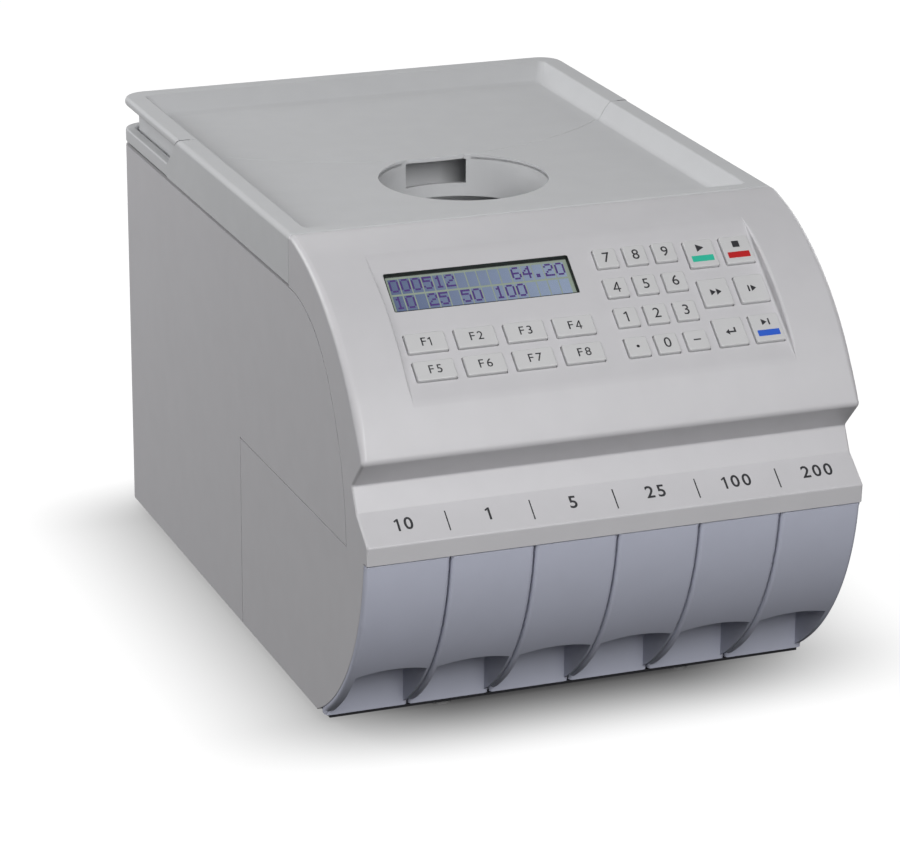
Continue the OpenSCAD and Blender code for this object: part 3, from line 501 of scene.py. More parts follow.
CASING = surface("casing_plastic", linear(203, 202, 205), 0.42)
TRAY = surface("tray_plastic", linear(197, 198, 200), 0.65)
# The casing's plastic made a little darker and bluer for the drawers under the overhang: painted shade.
DRAWER_SHADED_PLASTIC = surface("drawer_plastic_painted_shade", linear(189, 192, 207), 0.42)
KEY = surface("key_plastic", linear(205, 205, 206), 0.4)
INK = surface("ink", linear(48, 48, 52), 0.6)
TEAL = surface("teal_ink", linear(48, 190, 160), 0.5)
RED = surface("red_ink", linear(190, 30, 34), 0.5)
BLUE = surface("blue_ink", linear(46, 96, 205), 0.5)
# Dark frame round the display; lining the opening's walls, it also stands in for the shade in the display's
# recess: painted shade.
BEZEL_AND_SHADE = surface("display_bezel_and_shade", linear(24, 30, 28), 0.5)
BACKLIGHT = surface("display_backlight", linear(150, 164, 146), 0.5)
# The cells get lighter towards the right: a painted sheen.
CELL_WITH_SHEEN = sheened_display_cell("sheened_display_cell", linear(80, 96, 134), linear(148, 164, 190))
DOT = surface("display_dot", linear(64, 4, 120), 0.5)
GLASS = clear_sheet("display_glass", linear(200, 205, 215), 0.04)
RUBBER = surface("rubber", linear(122, 121, 120), 0.8)
FOOT = surface("foot_rubber", linear(196, 196, 196), 0.7)
BLACK = surface("black_plastic", linear(30, 30, 32), 0.45)
DARK_PAINT = surface("painted_steel", linear(46, 46, 50), 0.5, metallic=0.2)
STEEL = surface("brushed_steel", linear(196, 198, 202), 0.32, tone_scale=400, metallic=0.9)
CAST = surface("cast_metal", linear(150, 152, 156), 0.5, grain=0.2, metallic=0.8)
BOARD = surface("circuit_board", linear(28, 92, 58), 0.45, shade=0.7, tone_scale=250)


# Front housing

def console_height(v):
    """Height of the console curve above the keypad flat."""
    return math.sqrt(CONSOLE_R**2 - (v - FLAT_LEN / 2)**2) - CONSOLE_R * math.cos(FLAT_HALF_A)


def flat_place():
    """Takes (across, up the flat, out of the flat) to the frame."""
    return Matrix.Translation((0, FLAT_LOW.x, FLAT_LOW.y)) @ Matrix.Rotation(FLAT_SLOPE, 4, "X")


def front_line():
    """Side view of the front, from the top's rear edge down to the base."""
    console = arc(CONSOLE_C, CONSOLE_R, CONSOLE_LEAD, EDGE_A - NOSE_LEAD, 44)
    edge = arc(CONSOLE_C, CONSOLE_R, EDGE_A, EDGE_A, 1)[0]
    cheek_r = DRAWER_R - FRONT_T - DRAWER_SLACK
    ends = [math.pi / 2 + math.asin((DRAWER_MID_Z - z) / cheek_r) for z in (LIP_LOW.y, FOOT_H)]
    cheek = arc(DRAWER_C, cheek_r, *ends, 24)
    corners = [(CONSOLE_BACK_Y, TOP_Z - FAR, 0), (CONSOLE_BACK_Y, TOP_Z, TOP_SEAM_R)]
    corners += [(*p, 0) for p in console]
    corners += [(*edge, NOSE_R), (*NOTCH, NOTCH_R), (*FACET, FACET_R), (*LIP, LIP_R), (*LIP_FACE_LOW, 0)]
    corners += [(*p, 0) for p in cheek]
    return rounded(corners)


def line_normals(line):
    """Outward directions along an open line that runs down the front."""
    ahead = line[1:] + line[-1:]
    behind = line[:1] + line[:-1]
    steps = [(b - a).normalized() for a, b in zip(behind, ahead)]
    return [Vector((s.y, -s.x)) for s in steps]


def swept(name, line, normals, rear, left, right, radius_at, steps=5):
    """A side view drawn out across the width, with its front line rounded over at both sides."""
    rings = []
    turns = [math.pi / 2 * i / steps for i in range(steps + 1)]
    for side, end, order in ((-1, left, turns), (1, right, turns[::-1])):
        for turn in order:
            ring = []
            for p, normal in zip(line + rear, normals + [Vector((0, 0))] * len(rear)):
                radius = radius_at(p.y)
                place = p - normal * radius * (1 - math.sin(turn))
                ring.append((end - side * radius * (1 - math.cos(turn)), place.x, place.y))
            rings.append(ring)
    return loft(name, rings)


def shell():
    line = front_line()
    normals = line_normals(line)
    for i, p in enumerate(line):
        if p.x > CONSOLE_TOP_Y + SEAM:
            normals[i] = Vector((0, max(normals[i].y, 0)))
    rear = [Vector((LOW_SEAM_Y - GROOVE, FOOT_H)), Vector((LOW_SEAM_Y - GROOVE, LOW_SEAM_Z - GROOVE)),
            Vector((CONSOLE_BACK_Y, LOW_SEAM_Z - GROOVE))]
    return swept("front_shell", line, normals, rear, -HALF_W, HALF_W, lambda z: between(SIDE_RADII, z))


def hollow():
    inner = arc(CONSOLE_C, CONSOLE_R - SKIN, CONSOLE_LEAD, EDGE_A - INNER_NOSE_LEAD, 40)
    outline = [(LOW_SEAM_Y + FAR, TOP_Z - SKIN), *inner]
    outline += [(NOTCH.x + SKIN * 1.2, NOTCH.y), (FACET.x + SKIN, FACET.y - SKIN / 5)]
    outline += [(LIP.x + SKIN * 1.4, LIP.y - SKIN / 3), (LIP_LOW.x + SKIN, LIP_LOW.y)]
    outline += [(FRONT_Y - FAR, LIP_LOW.y), (FRONT_Y - FAR, -FAR), (LOW_SEAM_Y + FAR, -FAR)]
    return prism("hollow", outline, "x", -INNER_W, INNER_W)


def cover_zone(gap):
    """Side view of the rear cover's space."""
    low_a = math.acos((LOW_SEAM_Z - gap - SEAM_LOW_C.y) / (SEAM_LOW_R + gap))
    outline = arc(SEAM_C, SEAM_R + gap, 0, SEAM_JOIN, 24)
    outline += arc(SEAM_LOW_C, SEAM_LOW_R + gap, SEAM_JOIN, low_a, 16)[1:]
    outline += [(LOW_SEAM_Y - gap, LOW_SEAM_Z - gap), (LOW_SEAM_Y - gap, -FAR)]
    outline += [(REAR_Y + FAR, -FAR), (REAR_Y + FAR, COVER_TOP_Z + gap)]
    return outline


def keypad_panel():
    vs = [PANEL_INSET + (FLAT_LEN - 2 * PANEL_INSET) * i / 24 for i in range(25)]
    top = [(v, console_height(v) - PANEL_INSET) for v in vs]
    rings = [[(x, v, n) for v, n in [(vs[0], -PANEL_T), (vs[-1], -PANEL_T), *top[::-1]]]
             for x in (-FLAT_W / 2 - SKIN, FLAT_W / 2 + SKIN)]
    return loft("keypad_panel", rings, flat_place())


def flat_pocket():
    """The space above the keypad flat, which runs out softly at the flat's upper and lower edges."""
    ends = [FLAT_BLEND * (i / 4 - 1) for i in range(8)]
    middle = [FLAT_BLEND + (FLAT_LEN - 2 * FLAT_BLEND) * i / 24 for i in range(25)]
    vs = ends + middle + [FLAT_LEN - v for v in ends[::-1]]
    slope = math.tan(FLAT_HALF_A)
    rings = []
    for v in vs:
        from_end = min(v, FLAT_LEN - v)
        drop = slope / (4 * FLAT_BLEND) * max(FLAT_BLEND - from_end, 0)**2
        height = max(console_height(v) + drop, 0.1)
        inner_r = min(FLAT_INNER_R, 0.4 * height)
        outer_r = min(FLAT_EDGE_R, 0.5 * height)
        half = FLAT_W / 2
        side = [(half - inner_r + inner_r * math.sin(a), inner_r - inner_r * math.cos(a))
                for a in (math.pi / 2 * i / 4 for i in range(5))]
        side += [(half + outer_r - outer_r * math.cos(a), height - outer_r + outer_r * math.sin(a))
                 for a in (math.pi / 2 * i / 5 for i in range(6))]
        side.append((half + outer_r, height + FAR))
        ring = side + [(-x, n) for x, n in side[::-1]]
        rings.append([(x, v, n - drop) for x, n in ring])
    return loft("flat_pocket", rings, flat_place())


def flat_hole(name, x, v, width, height):
    outline = rectangle(width, height, KEY_CORNER_R, x, v)
    return prism(name, outline, "z", -2 * PANEL_T, PANEL_T / 2, flat_place())


def front_housing(keys):
    cover_space = prism("cover_space", cover_zone(GROOVE), "x", -FAR - HALF_W, FAR + HALF_W)
    housing = cut(shell(), hollow(), cover_space)
    unite(housing, keypad_panel())
    cut(housing, flat_pocket())
    room = 2 * KEY_GAP
    holes = [flat_hole(name, x, v, w + room, h + room) for name, x, v, w, h in keys]
    holes.append(flat_hole("display_hole", DISPLAY_X, DISPLAY_V, DISPLAY_W, DISPLAY_H))
    cut(housing, *holes)
    housing.name = "front_housing_look"
    dress(paint(smooth(housing), CASING), "casing", "casing", "front_housing")


# Keys

def key_at(node, group, column, row):
    """A key's node, middle across, middle up the flat, width and height."""
    first, step, size = group
    return (node, first[0] + step[0] * column, first[1] + step[1] * row, *size)


def key_layout():
    functions = [key_at(f"function_key_{i + 1}", FUNCTION_KEYS, i % 4, 1 - i // 4) for i in range(8)]
    numbers = [key_at(f"number_key_{mark}", NUMBER_KEYS, i % 3, i // 3)
               for i, mark in enumerate(NUMBER_MARKS)]
    controls = [key_at(f"control_key_{i + 1}", CONTROL_KEYS, i % 2, 2 - i // 2) for i in range(6)]
    return functions + numbers + controls


def key_cap(name, x, v, width, height):
    def ring(inset, n, corner=KEY_CORNER_R):
        outline = rectangle(width - 2 * inset, height - 2 * inset, corner, x, v)
        return [(a, b, n) for a, b in outline]
    rings = [ring(-FLANGE_W, FLANGE_N - FLANGE_W), ring(-FLANGE_W, FLANGE_N), ring(0, FLANGE_N)]
    for i in range(5):
        turn = math.pi / 2 * i / 4
        inset = KEY_SOFT_R * (1 - math.cos(turn))
        rings.append(ring(inset, KEY_RISE - KEY_SOFT_R * (1 - math.sin(turn)), KEY_CORNER_R - inset / 2))
    return loft(name, rings, flat_place())


def glyph(sign, size, bold, x, v, n, place):
    """A letter or digit printed on a face."""
    curve = bpy.data.curves.new("glyph", "FONT")
    curve.body = sign
    curve.size = size
    curve.align_x = "CENTER"
    curve.align_y = "CENTER"
    curve.extrude = PRINT_T
    curve.offset = bold * size
    curve.resolution_u = 4
    words = new_piece("glyph", curve)
    graph = bpy.context.evaluated_depsgraph_get()
    mesh = bpy.data.meshes.new_from_object(words.evaluated_get(graph))
    bpy.data.objects.remove(words)
    mesh.transform(Matrix.Scale(MM, 4) @ place @ Matrix.Translation((x, v, n)))
    return new_piece("glyph", mesh)


def patch(outline, x, v, n, place):
    """A printed shape, round the point (x, v) of a face."""
    return prism("patch", [(x + a, v + b) for a, b in outline], "z", n - PRINT_T, n + PRINT_T, place)


def figure_one(size, bold):
    """Outline of a 1, as a list of one."""
    half, cap, flag = (0.042 + bold) * size, 0.36 * size, 0.2 * size
    return [[(-half, -cap), (half, -cap), (half, cap), (-half / 2, cap), (-flag, cap - 0.12 * size),
             (-flag + half / 2, cap - 0.2 * size), (-half, cap - 0.13 * size)]]


def figure_four(size, bold):
    """Outlines of the stem, bar and slant of a 4."""
    half, cap, left, right = (0.038 + bold) * size, 0.36 * size, -0.25 * size, 0.24 * size
    stem, bar = 0.1 * size, -0.15 * size
    return [[(stem - half, -cap), (stem + half, -cap), (stem + half, cap), (stem - half, cap)],
            [(left, bar - half), (right, bar - half), (right, bar + half), (left, bar + half)],
            [(left, bar), (left + 2.6 * half, bar), (stem + half, cap), (stem - 1.2 * half, cap)]]


DRAWN_FIGURES = {"1": figure_one, "4": figure_four}


def printed(text, size, bold, x, v, n, place):
    """A number or a code printed on a face, with its middle at (x, v)."""
    widths = [size * (0.46 if sign == "1" else 0.64) for sign in text]
    at = x - sum(widths) / 2
    parts = []
    for sign, width in zip(text, widths):
        middle = at + width / 2
        if sign in DRAWN_FIGURES:
            strokes = [patch(outline, middle, v, n, place) for outline in DRAWN_FIGURES[sign](size, bold)]
            parts.append((unite(*strokes), INK))
        else:
            parts.append((glyph(sign, size, bold, middle, v, n, place), INK))
        at += width
    return parts


# Shapes printed on the control keys, round the middle of the sign
RUN = [(-2, -2.4), (2.4, 0), (-2, 2.4)]
HALT = rectangle(4, 4, 0.2)
SHORT_RUN = [(-1.4, -2), (1.6, 0), (-1.4, 2)]
POST = rectangle(0.9, 4, 0.1)
ENTER = [(-3, -0.4), (-0.8, -2.2), (-0.8, -0.9), (3, -0.9), (3, 2.2), (2, 2.2), (2, 0.1), (-0.8, 0.1),
         (-0.8, 1.4)]
CONTROL_SIGNS = {
    "1": [(0, RUN)], "2": [(0, HALT)], "3": [(-1.7, SHORT_RUN), (1.7, SHORT_RUN)],
    "4": [(-2, POST), (0.8, SHORT_RUN)], "5": [(0, ENTER)], "6": [(-0.8, SHORT_RUN), (2, POST)],
}
CONTROL_BARS = {"1": TEAL, "2": RED, "6": BLUE}


def key_marks(name, x, v, width, height):
    """What is printed on a key's top: a digit, a plain code or a sign."""
    n = KEY_RISE + PRINT_T
    place = flat_place()
    kind, mark = name.split("_key_")
    if mark == "point":
        return [(patch(rectangle(1.7, 1.7, 0.8), x, v, n, place), INK)]
    if mark == "minus":
        return [(patch(rectangle(4.2, 0.8, 0.2), x, v, n, place), INK)]
    if kind == "number":
        return printed(mark, NUMBER_SIZE, KEY_BOLD, x, v, n, place)
    if kind == "function":
        return printed("F" + mark, CODE_SIZE, KEY_BOLD, x, v, n, place)
    lift = SIGN_LIFT if mark in CONTROL_BARS else 0
    signs = [(patch(outline, x + shift, v + lift, n, place), INK) for shift, outline in CONTROL_SIGNS[mark]]
    if mark in CONTROL_BARS:
        bar = rectangle(width * BAR_SHARE, BAR_H, 0.3)
        signs.append((patch(bar, x, v - height / 5, n, place), CONTROL_BARS[mark]))
    return signs


def make_keys(keys):
    for name, x, v, width, height in keys:
        cap = smooth(key_cap(name, x, v, width, height))
        key = merge(name + "_look", [(cap, KEY), *key_marks(name, x, v, width, height)])
        dress(key, name + "_body", "key", name)


# Display

# Heights are measured from the keypad flat
BEZEL_N = -0.05
WINDOW_N = -PANEL_T - 0.2
DOT_N = WINDOW_N - 0.07
CELL_N = WINDOW_N - 0.16
BACKLIGHT_N = WINDOW_N - 0.2
MODULE_N = WINDOW_N - 0.3
MODULE_BACK_N = -6.9
# How far the module and the window reach past the opening, on both sides together
DISPLAY_EDGE = 4
DISPLAY_BORDER = 0.5
BEZEL_GAP = 0.1
CELL_COUNT = (16, 2)
CELL_PITCH = (6.2, 10.6)
CELL_SIZE = (5.5, 9.4, 0.08)
DOT_PITCH = (1.05, 1.12)
DOT_SIZE = (1, 1.07, 0.08)
# Rows of dots of each digit, the top row first, with a bit for each dot
DIGIT_ROWS = {
    "0": (14, 17, 17, 17, 17, 17, 14), "1": (4, 12, 4, 4, 4, 4, 14), "2": (14, 17, 1, 6, 8, 16, 31),
    "4": (2, 6, 10, 18, 31, 2, 2), "5": (31, 16, 30, 1, 1, 17, 14), "6": (14, 16, 16, 30, 17, 17, 14),
    "8": (14, 17, 17, 14, 17, 17, 14), ".": (0, 0, 0, 0, 0, 12, 12),
}
DISPLAY_LINES = ("000512     64.20", "10 25 50 100")


def repeat_tree():
    """A node tree that puts a plate on each point of a mesh."""
    tree = bpy.data.node_groups.new("repeat_plate", "GeometryNodeTree")
    sockets = (("Points", "NodeSocketGeometry"), ("Size", "NodeSocketVector"), ("Turn", "NodeSocketVector"))
    for name, kind in sockets:
        tree.interface.new_socket(name, in_out="INPUT", socket_type=kind)
    tree.interface.new_socket("Plates", in_out="OUTPUT", socket_type="NodeSocketGeometry")
    nodes, links = tree.nodes, tree.links
    given = nodes.new("NodeGroupInput")
    plate = nodes.new("GeometryNodeMeshCube")
    turn = nodes.new("FunctionNodeEulerToRotation")
    spread = nodes.new("GeometryNodeInstanceOnPoints")
    real = nodes.new("GeometryNodeRealizeInstances")
    result = nodes.new("NodeGroupOutput")
    links.new(given.outputs["Size"], plate.inputs["Size"])
    links.new(given.outputs["Turn"], turn.inputs["Euler"])
    links.new(given.outputs["Points"], spread.inputs["Points"])
    links.new(plate.outputs["Mesh"], spread.inputs["Instance"])
    links.new(turn.outputs["Rotation"], spread.inputs["Rotation"])
    links.new(spread.outputs["Instances"], real.inputs["Geometry"])
    links.new(real.outputs["Geometry"], result.inputs["Plates"])
    return tree


REPEAT = repeat_tree()


def plates(name, points, size, slope, place):
    """Equal plates at each of these points of a face with a slope."""
    piece = piece_from(name, points, [], place)
    modifier = piece.modifiers.new("repeat", "NODES")
    modifier.node_group = REPEAT
    values = {"Size": Vector(size) * MM, "Turn": Vector((slope, 0, 0))}
    for socket in REPEAT.interface.items_tree:
        if socket.name in values:
            modifier[socket.identifier] = values[socket.name]
    return settle(piece)


def display_block(name, width, height, n0, n1):
    outline = rectangle(width, height, 0.5, DISPLAY_X, DISPLAY_V)
    return prism(name, outline, "z", n0, n1, flat_place())


# A dark frame that lines the display opening's walls and so also paints the shade that falls in the recess.
def display_bezel_and_shade():
    def outline(inset, radius):
        return rectangle(DISPLAY_W - inset, DISPLAY_H - inset, radius, DISPLAY_X, DISPLAY_V)
    place = flat_place()
    bezel = prism("bezel", outline(BEZEL_GAP, KEY_CORNER_R), "z", -PANEL_T, BEZEL_N, place)
    opening = outline(2 * DISPLAY_BORDER, KEY_CORNER_R / 2)
    return cut(bezel, prism("opening", opening, "z", -2 * PANEL_T, PANEL_T, place))


def display_cells():
    """Middles of the display's cells, row by row from the top."""
    columns, rows = CELL_COUNT
    step_x, step_v = CELL_PITCH
    return [(DISPLAY_X + step_x * (i - (columns - 1) / 2), DISPLAY_V + step_v * ((rows - 1) / 2 - j), CELL_N)
            for j in range(rows) for i in range(columns)]


def display_dots(cells):
    """Middles of the dots that make up the display's signs."""
    dots = []
    for j, line in enumerate(DISPLAY_LINES):
        for i, sign in enumerate(line):
            x, v = cells[j * CELL_COUNT[0] + i][:2]
            for row, bits in enumerate(DIGIT_ROWS.get(sign, ())):
                dots += [(x + DOT_PITCH[0] * (k - 2), v + DOT_PITCH[1] * (3.5 - row), DOT_N)
                         for k in range(5) if bits >> (4 - k) & 1]
    return dots


def display():
    place = flat_place()
    full = (DISPLAY_W + DISPLAY_EDGE, DISPLAY_H + DISPLAY_EDGE)
    cells = display_cells()
    parts = [
        (display_bezel_and_shade(), BEZEL_AND_SHADE),
        (display_block("module", *full, MODULE_BACK_N, MODULE_N), BEZEL_AND_SHADE),
        (display_block("backlight", DISPLAY_W - 0.6, DISPLAY_H - 1.6, MODULE_N, BACKLIGHT_N), BACKLIGHT),
        (plates("cells", cells, CELL_SIZE, FLAT_SLOPE, place), CELL_WITH_SHEEN),
        (plates("dots", display_dots(cells), DOT_SIZE, FLAT_SLOPE, place), DOT),
    ]
    dress(merge("display_module_look", parts), "casing", "display", "display_module")
    window = display_block("display_window_look", *full, WINDOW_N, -PANEL_T)
    dress(paint(window, GLASS), "casing", "window", "display_window")


# Label strip

LABELS = ("10", "1", "5", "25", "100", "200")


def label_strip():
    """Numbers and separators printed on the facet over the drawers."""
    up = FACET - LIP
    slope = math.atan2(up.y, up.x)
    place = Matrix.Translation((0, LIP.x, LIP.y)) @ Matrix.Rotation(slope, 4, "X")
    middle = up.length / 2
    parts = []
    for i, label in enumerate(LABELS):
        x = PITCH * (i + 0.5) - HALF_W
        parts += printed(label, LABEL_SIZE, STRIP_BOLD, x, middle + LABEL_RISE, LABEL_N, place)
    lines = [(PITCH * i - HALF_W, middle, LABEL_N) for i in range(1, DRAWER_COUNT)]
    parts.append((plates("separators", lines, SEPARATOR, slope, place), INK))
    piece = merge("strip_labels", parts)
    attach(piece, "casing")


# Drawers

def drawer_front(name, low, high):
    """The curved front, with its upper edge and its sides rounded."""
    top_a = math.pi / 2 + math.asin((DRAWER_MID_Z - high.z) / DRAWER_R)
    top, *curve = arc(DRAWER_C, DRAWER_R, top_a, DRAWER_LOW_A, 40)
    corners = [(RECESS_Y, high.z, 0), (*top, DRAWER_END_R), *[(*p, 0) for p in curve], (RECESS_Y, low.z, 0)]
    line = rounded(corners, steps=4)
    normals = [n * (n.x < -0.3) for n in line_normals(line)]
    rear = [Vector((FRONT_BACK_Y, low.z)), Vector((FRONT_BACK_Y, high.z))]
    return swept(name, line, normals, rear, low.x, high.x, lambda z: DRAWER_SIDE_R)


def coin_space(x0, x1, top):
    """The space behind the curved front and over the finger recess."""
    curve = arc(DRAWER_C, DRAWER_R - FRONT_T, math.pi / 2, DRAWER_LOW_A, 24)
    curve = [p for p in curve if p[1] > CEILING_Z]
    outline = [(DRAWER_C.x - DRAWER_R + FRONT_T, top), *curve, (RECESS_Y, CEILING_Z), (RECESS_Y, top)]
    return prism("coins", outline, "x", x0, x1)


def finger_recess(x0, x1):
    lean = math.asin((x1 - x0) / 2 / RECESS_ARCH_R)
    arch = arc(((x0 + x1) / 2, RECESS_Z - RECESS_ARCH_R), RECESS_ARCH_R, lean, -lean, 16)
    return prism("recess", [(x0, -FAR), *arch, (x1, -FAR)], "y", FRONT_Y - FAR, RECESS_Y)


def coin_drawer(index):
    """A drawer; the fronts of the outer two also cover the front edges of the casing's sides."""
    node = f"coin_drawer_{index + 1}"
    low, high = (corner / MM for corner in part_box(node))
    left = max(low.x, DRAWER_SLACK - INNER_W)
    right = min(high.x, INNER_W - DRAWER_SLACK)
    half_box = (PITCH - SKIN - PARTITION_T / 2) / 2 - DRAWER_SLACK
    half_in = half_box - DRAWER_WALL
    middle = min(max((low.x + high.x) / 2, left + half_box), right - half_box)
    drawer = drawer_front(node + "_look", low, high)
    unite(drawer, block("box", (middle - half_box, BOX_Y, low.z), (middle + half_box, high.y, high.z)))
    behind = arc(DRAWER_C, DRAWER_R - FRONT_T, 0, math.pi, 90)
    for end, inner_end in ((low.x, left), (high.x, right)):
        if end != inner_end:
            cut(drawer, prism("behind_front", behind, "x", *sorted((2 * end - inner_end, inner_end))))
    recess_x0 = low.x + RIB_W if low.x == left else left + RIB_W / 2
    recess_x1 = high.x - RIB_W if high.x == right else right - RIB_W / 2
    end_corner = (middle + half_in, high.y - DRAWER_WALL, high.z + FAR)
    cut(
        drawer,
        coin_space(left + RIB_W, right - RIB_W, high.z + FAR),
        block("passage", (middle - half_in, RECESS_Y - 1, CEILING_Z), end_corner),
        block("inside", (middle - half_in, RECESS_Y + DRAWER_WALL, low.z + DRAWER_WALL), end_corner),
        finger_recess(recess_x0, recess_x1),
    )
    ease(drawer, SOFT_EDGE)
    dress(paint(smooth(drawer), DRAWER_SHADED_PLASTIC), node + "_body", "drawer", node)


# Coin tray and its frame

def pan_ring(x, z):
    """Plan outline of the pan at a distance from the middle and a height."""
    past = x - RIM_X
    front_step = RIM_FRONT_W / RIM_W if past > 0 else FRONT_RUN / WALL_RUN
    rear_step = 1 if past > 0 else REAR_RUN / WALL_RUN
    y0 = FRAME_Y0 + RIM_FRONT_W - past * front_step
    y1 = REAR_Y - RIM_W + past * rear_step
    front_r = max(PAN_CORNER_R * min(1, 1 - past / RIM_W), 0.3)
    rear_r = max(CORNER_R - HALF_W + x, PAN_CORNER_R)
    corners = [(-x, y0, front_r), (x, y0, front_r), (x, y1, rear_r), (-x, y1, rear_r)]
    return [(a, b, z) for a, b in rounded(corners)]


def pan_section(under, steps=6):
    """Half section of the pan from the underside to the floor, as (distance from the middle, height)."""
    fall = math.atan2(TRAY_DEPTH, WALL_RUN)
    rim_c = (RIM_X + RIM_INNER_R * math.tan(fall / 2), TOP_Z - RIM_INNER_R)
    floor_c = (FLOOR_X - FLOOR_R * math.tan(fall / 2), FLOOR_Z + FLOOR_R)
    section = list(under)
    section += arc(rim_c, RIM_INNER_R, 0, fall, steps)
    section += [(floor_c[0] + FLOOR_R * math.sin(a), floor_c[1] - FLOOR_R * math.cos(a))
                for a in (fall * (1 - i / steps) for i in range(steps + 1))]
    return section


def outer_round(x, z, radius, start, end, steps=5):
    """A rounding of the outer edge, from a start to an end angle above the horizontal."""
    turns = [math.radians(start + (end - start) * i / steps) for i in range(steps + 1)]
    return [(x - radius + radius * math.cos(a), z + radius * math.sin(a)) for a in turns]


def pan(name, under):
    return loft(name, [pan_ring(x, z) for x, z in pan_section(under)])


def swing_edge(radius, top):
    """The curve that the rear tray's front swings along, from under the hinge up to a height."""
    end = math.pi / 2 - math.asin((top - HINGE.y) / radius)
    return arc(HINGE, radius, -math.pi, -end, 20)


def spout(name, radius, z0, z1, rear_y):
    """A plate with a rounded front, as wide as the tray's spout."""
    lean = math.asin(SPOUT_HALF / radius)
    front = [(radius * math.sin(a), SPOUT_Y + SPOUT_R - radius * math.cos(a))
             for a in (lean * (i / 16 - 1) for i in range(33))]
    return prism(name, [*front, (SPOUT_HALF, rear_y), (-SPOUT_HALF, rear_y)], "z", z0, z1)


def full_turn():
    return [2 * math.pi * i / ROUND_STEPS for i in range(ROUND_STEPS)]


def round_plate(name, centre_y, radius, z0, z1):
    outline = [(radius * math.cos(a), centre_y + radius * math.sin(a)) for a in full_turn()]
    return prism(name, outline, "z", z0, z1)


def turned(name, centre_y, outline):
    """A closed outline of (radius, height) points turned round an upright axis."""
    points = [(r * math.cos(a), centre_y + r * math.sin(a), z) for a in full_turn() for r, z in outline]
    size = len(outline)
    faces = []
    for i in range(ROUND_STEPS):
        here, ahead = size * i, size * ((i + 1) % ROUND_STEPS)
        for j in range(size):
            k = (j + 1) % size
            faces.append((here + j, here + k, ahead + k, ahead + j))
    return piece_from(name, points, faces)


def rear_wrap(name, half_out, half_in, y0, z0, z1):
    """A band round the sides and rear, open to the front."""
    def run(half):
        radius = max(CORNER_R - HALF_W + half, 1)
        rear = REAR_Y - HALF_W + half
        return [(-half, y0, 0), (-half, rear, radius), (half, rear, radius), (half, y0, 0)]
    outline = rounded(run(half_out)) + rounded(run(half_in))[::-1]
    return prism(name, outline, "z", z0, z1)


def frame_slant():
    """Side view of the space over the rims' slanted ends and the low rear band."""
    top = TOP_Z + FAR / 2
    lean = math.atan2(TOP_Z - BAND_Z, SLANT_RUN)
    nose = Vector((TRAY_SEAM_Y - RIM_R * math.tan(lean / 2), TOP_Z - RIM_R))
    outline = [(nose.x, top), *arc(nose, RIM_R, -0.05, -lean, 6), (TRAY_SEAM_Y + SLANT_RUN, BAND_Z)]
    return outline + [(REAR_Y + FAR, BAND_Z), (REAR_Y + FAR, top)]


def side_cuts(outline):
    """A side view drawn out through both side rims."""
    far = HALF_W + FAR
    return [prism("side_cut", outline, "x", *ends) for ends in ((-far, -ARM_X), (ARM_X, far))]


def tray_frame():
    low = FRAME_Z0 - FAR
    rear = REAR_Y + FAR
    under = [(UNDER_X, UNDER_Z), (FLOOR_X + 2, UNDER_Z), (SHELF_X, TOP_Z - SKIN), (INNER_W, TOP_Z - SKIN),
             (INNER_W, FRAME_Z0), (HALF_W, FRAME_Z0)]
    under += outer_round(HALF_W, TOP_Z - RIM_R, RIM_R, 0, 90)
    body = pan("tray_frame_look", under)
    swing = [(HINGE.x, low), *swing_edge(SWING_R - TRAY_GAP, TOP_Z + 1), (rear, TOP_Z + 1), (rear, low)]
    cut(
        body,
        prism("swing", swing, "x", -ARM_X, ARM_X),
        *side_cuts(frame_slant()),
        block("rear_part", (-HALF_W - FAR, TRAY_SEAM_Y + SLANT_RUN + 1, low),
              (HALF_W + FAR, rear, TOP_Z + FAR)),
        spout("spout_slot", SPOUT_R + TRAY_GAP, UNDER_Z - 1, FLOOR_Z + 0.2, TRAY_SEAM_Y + FAR),
        round_plate("mouth", MOUTH_Y, MOUTH_R, UNDER_Z - FAR, FLOOR_Z + 1),
    )
    band = ease(rear_wrap("band", HALF_W, HALF_W - BAND_W, TRAY_SEAM_Y, FRAME_Z0, BAND_Z), 1, segments=3)
    ledge = rear_wrap("ledge", HALF_W - 1, HALF_W - BAND_W - LEDGE_W, LEDGE_Y, FRAME_Z0, REST_Z)
    collar = cut(
        round_plate("collar", MOUTH_Y, MOUTH_R + SKIN, UNDER_Z - COLLAR_H, UNDER_Z + FLOOR_T / 2),
        round_plate("collar_bore", MOUTH_Y, MOUTH_R, UNDER_Z - COLLAR_H - 1, FLOOR_Z + 1),
        spout("tip_space", SPOUT_R + 2 * TRAY_GAP, TIP_LOW_Z, FLOOR_Z + 1, REAR_Y),
    )
    unite(body, band, ledge, collar)
    dress(paint(smooth(body), TRAY), "casing", "tray", "tray_frame")


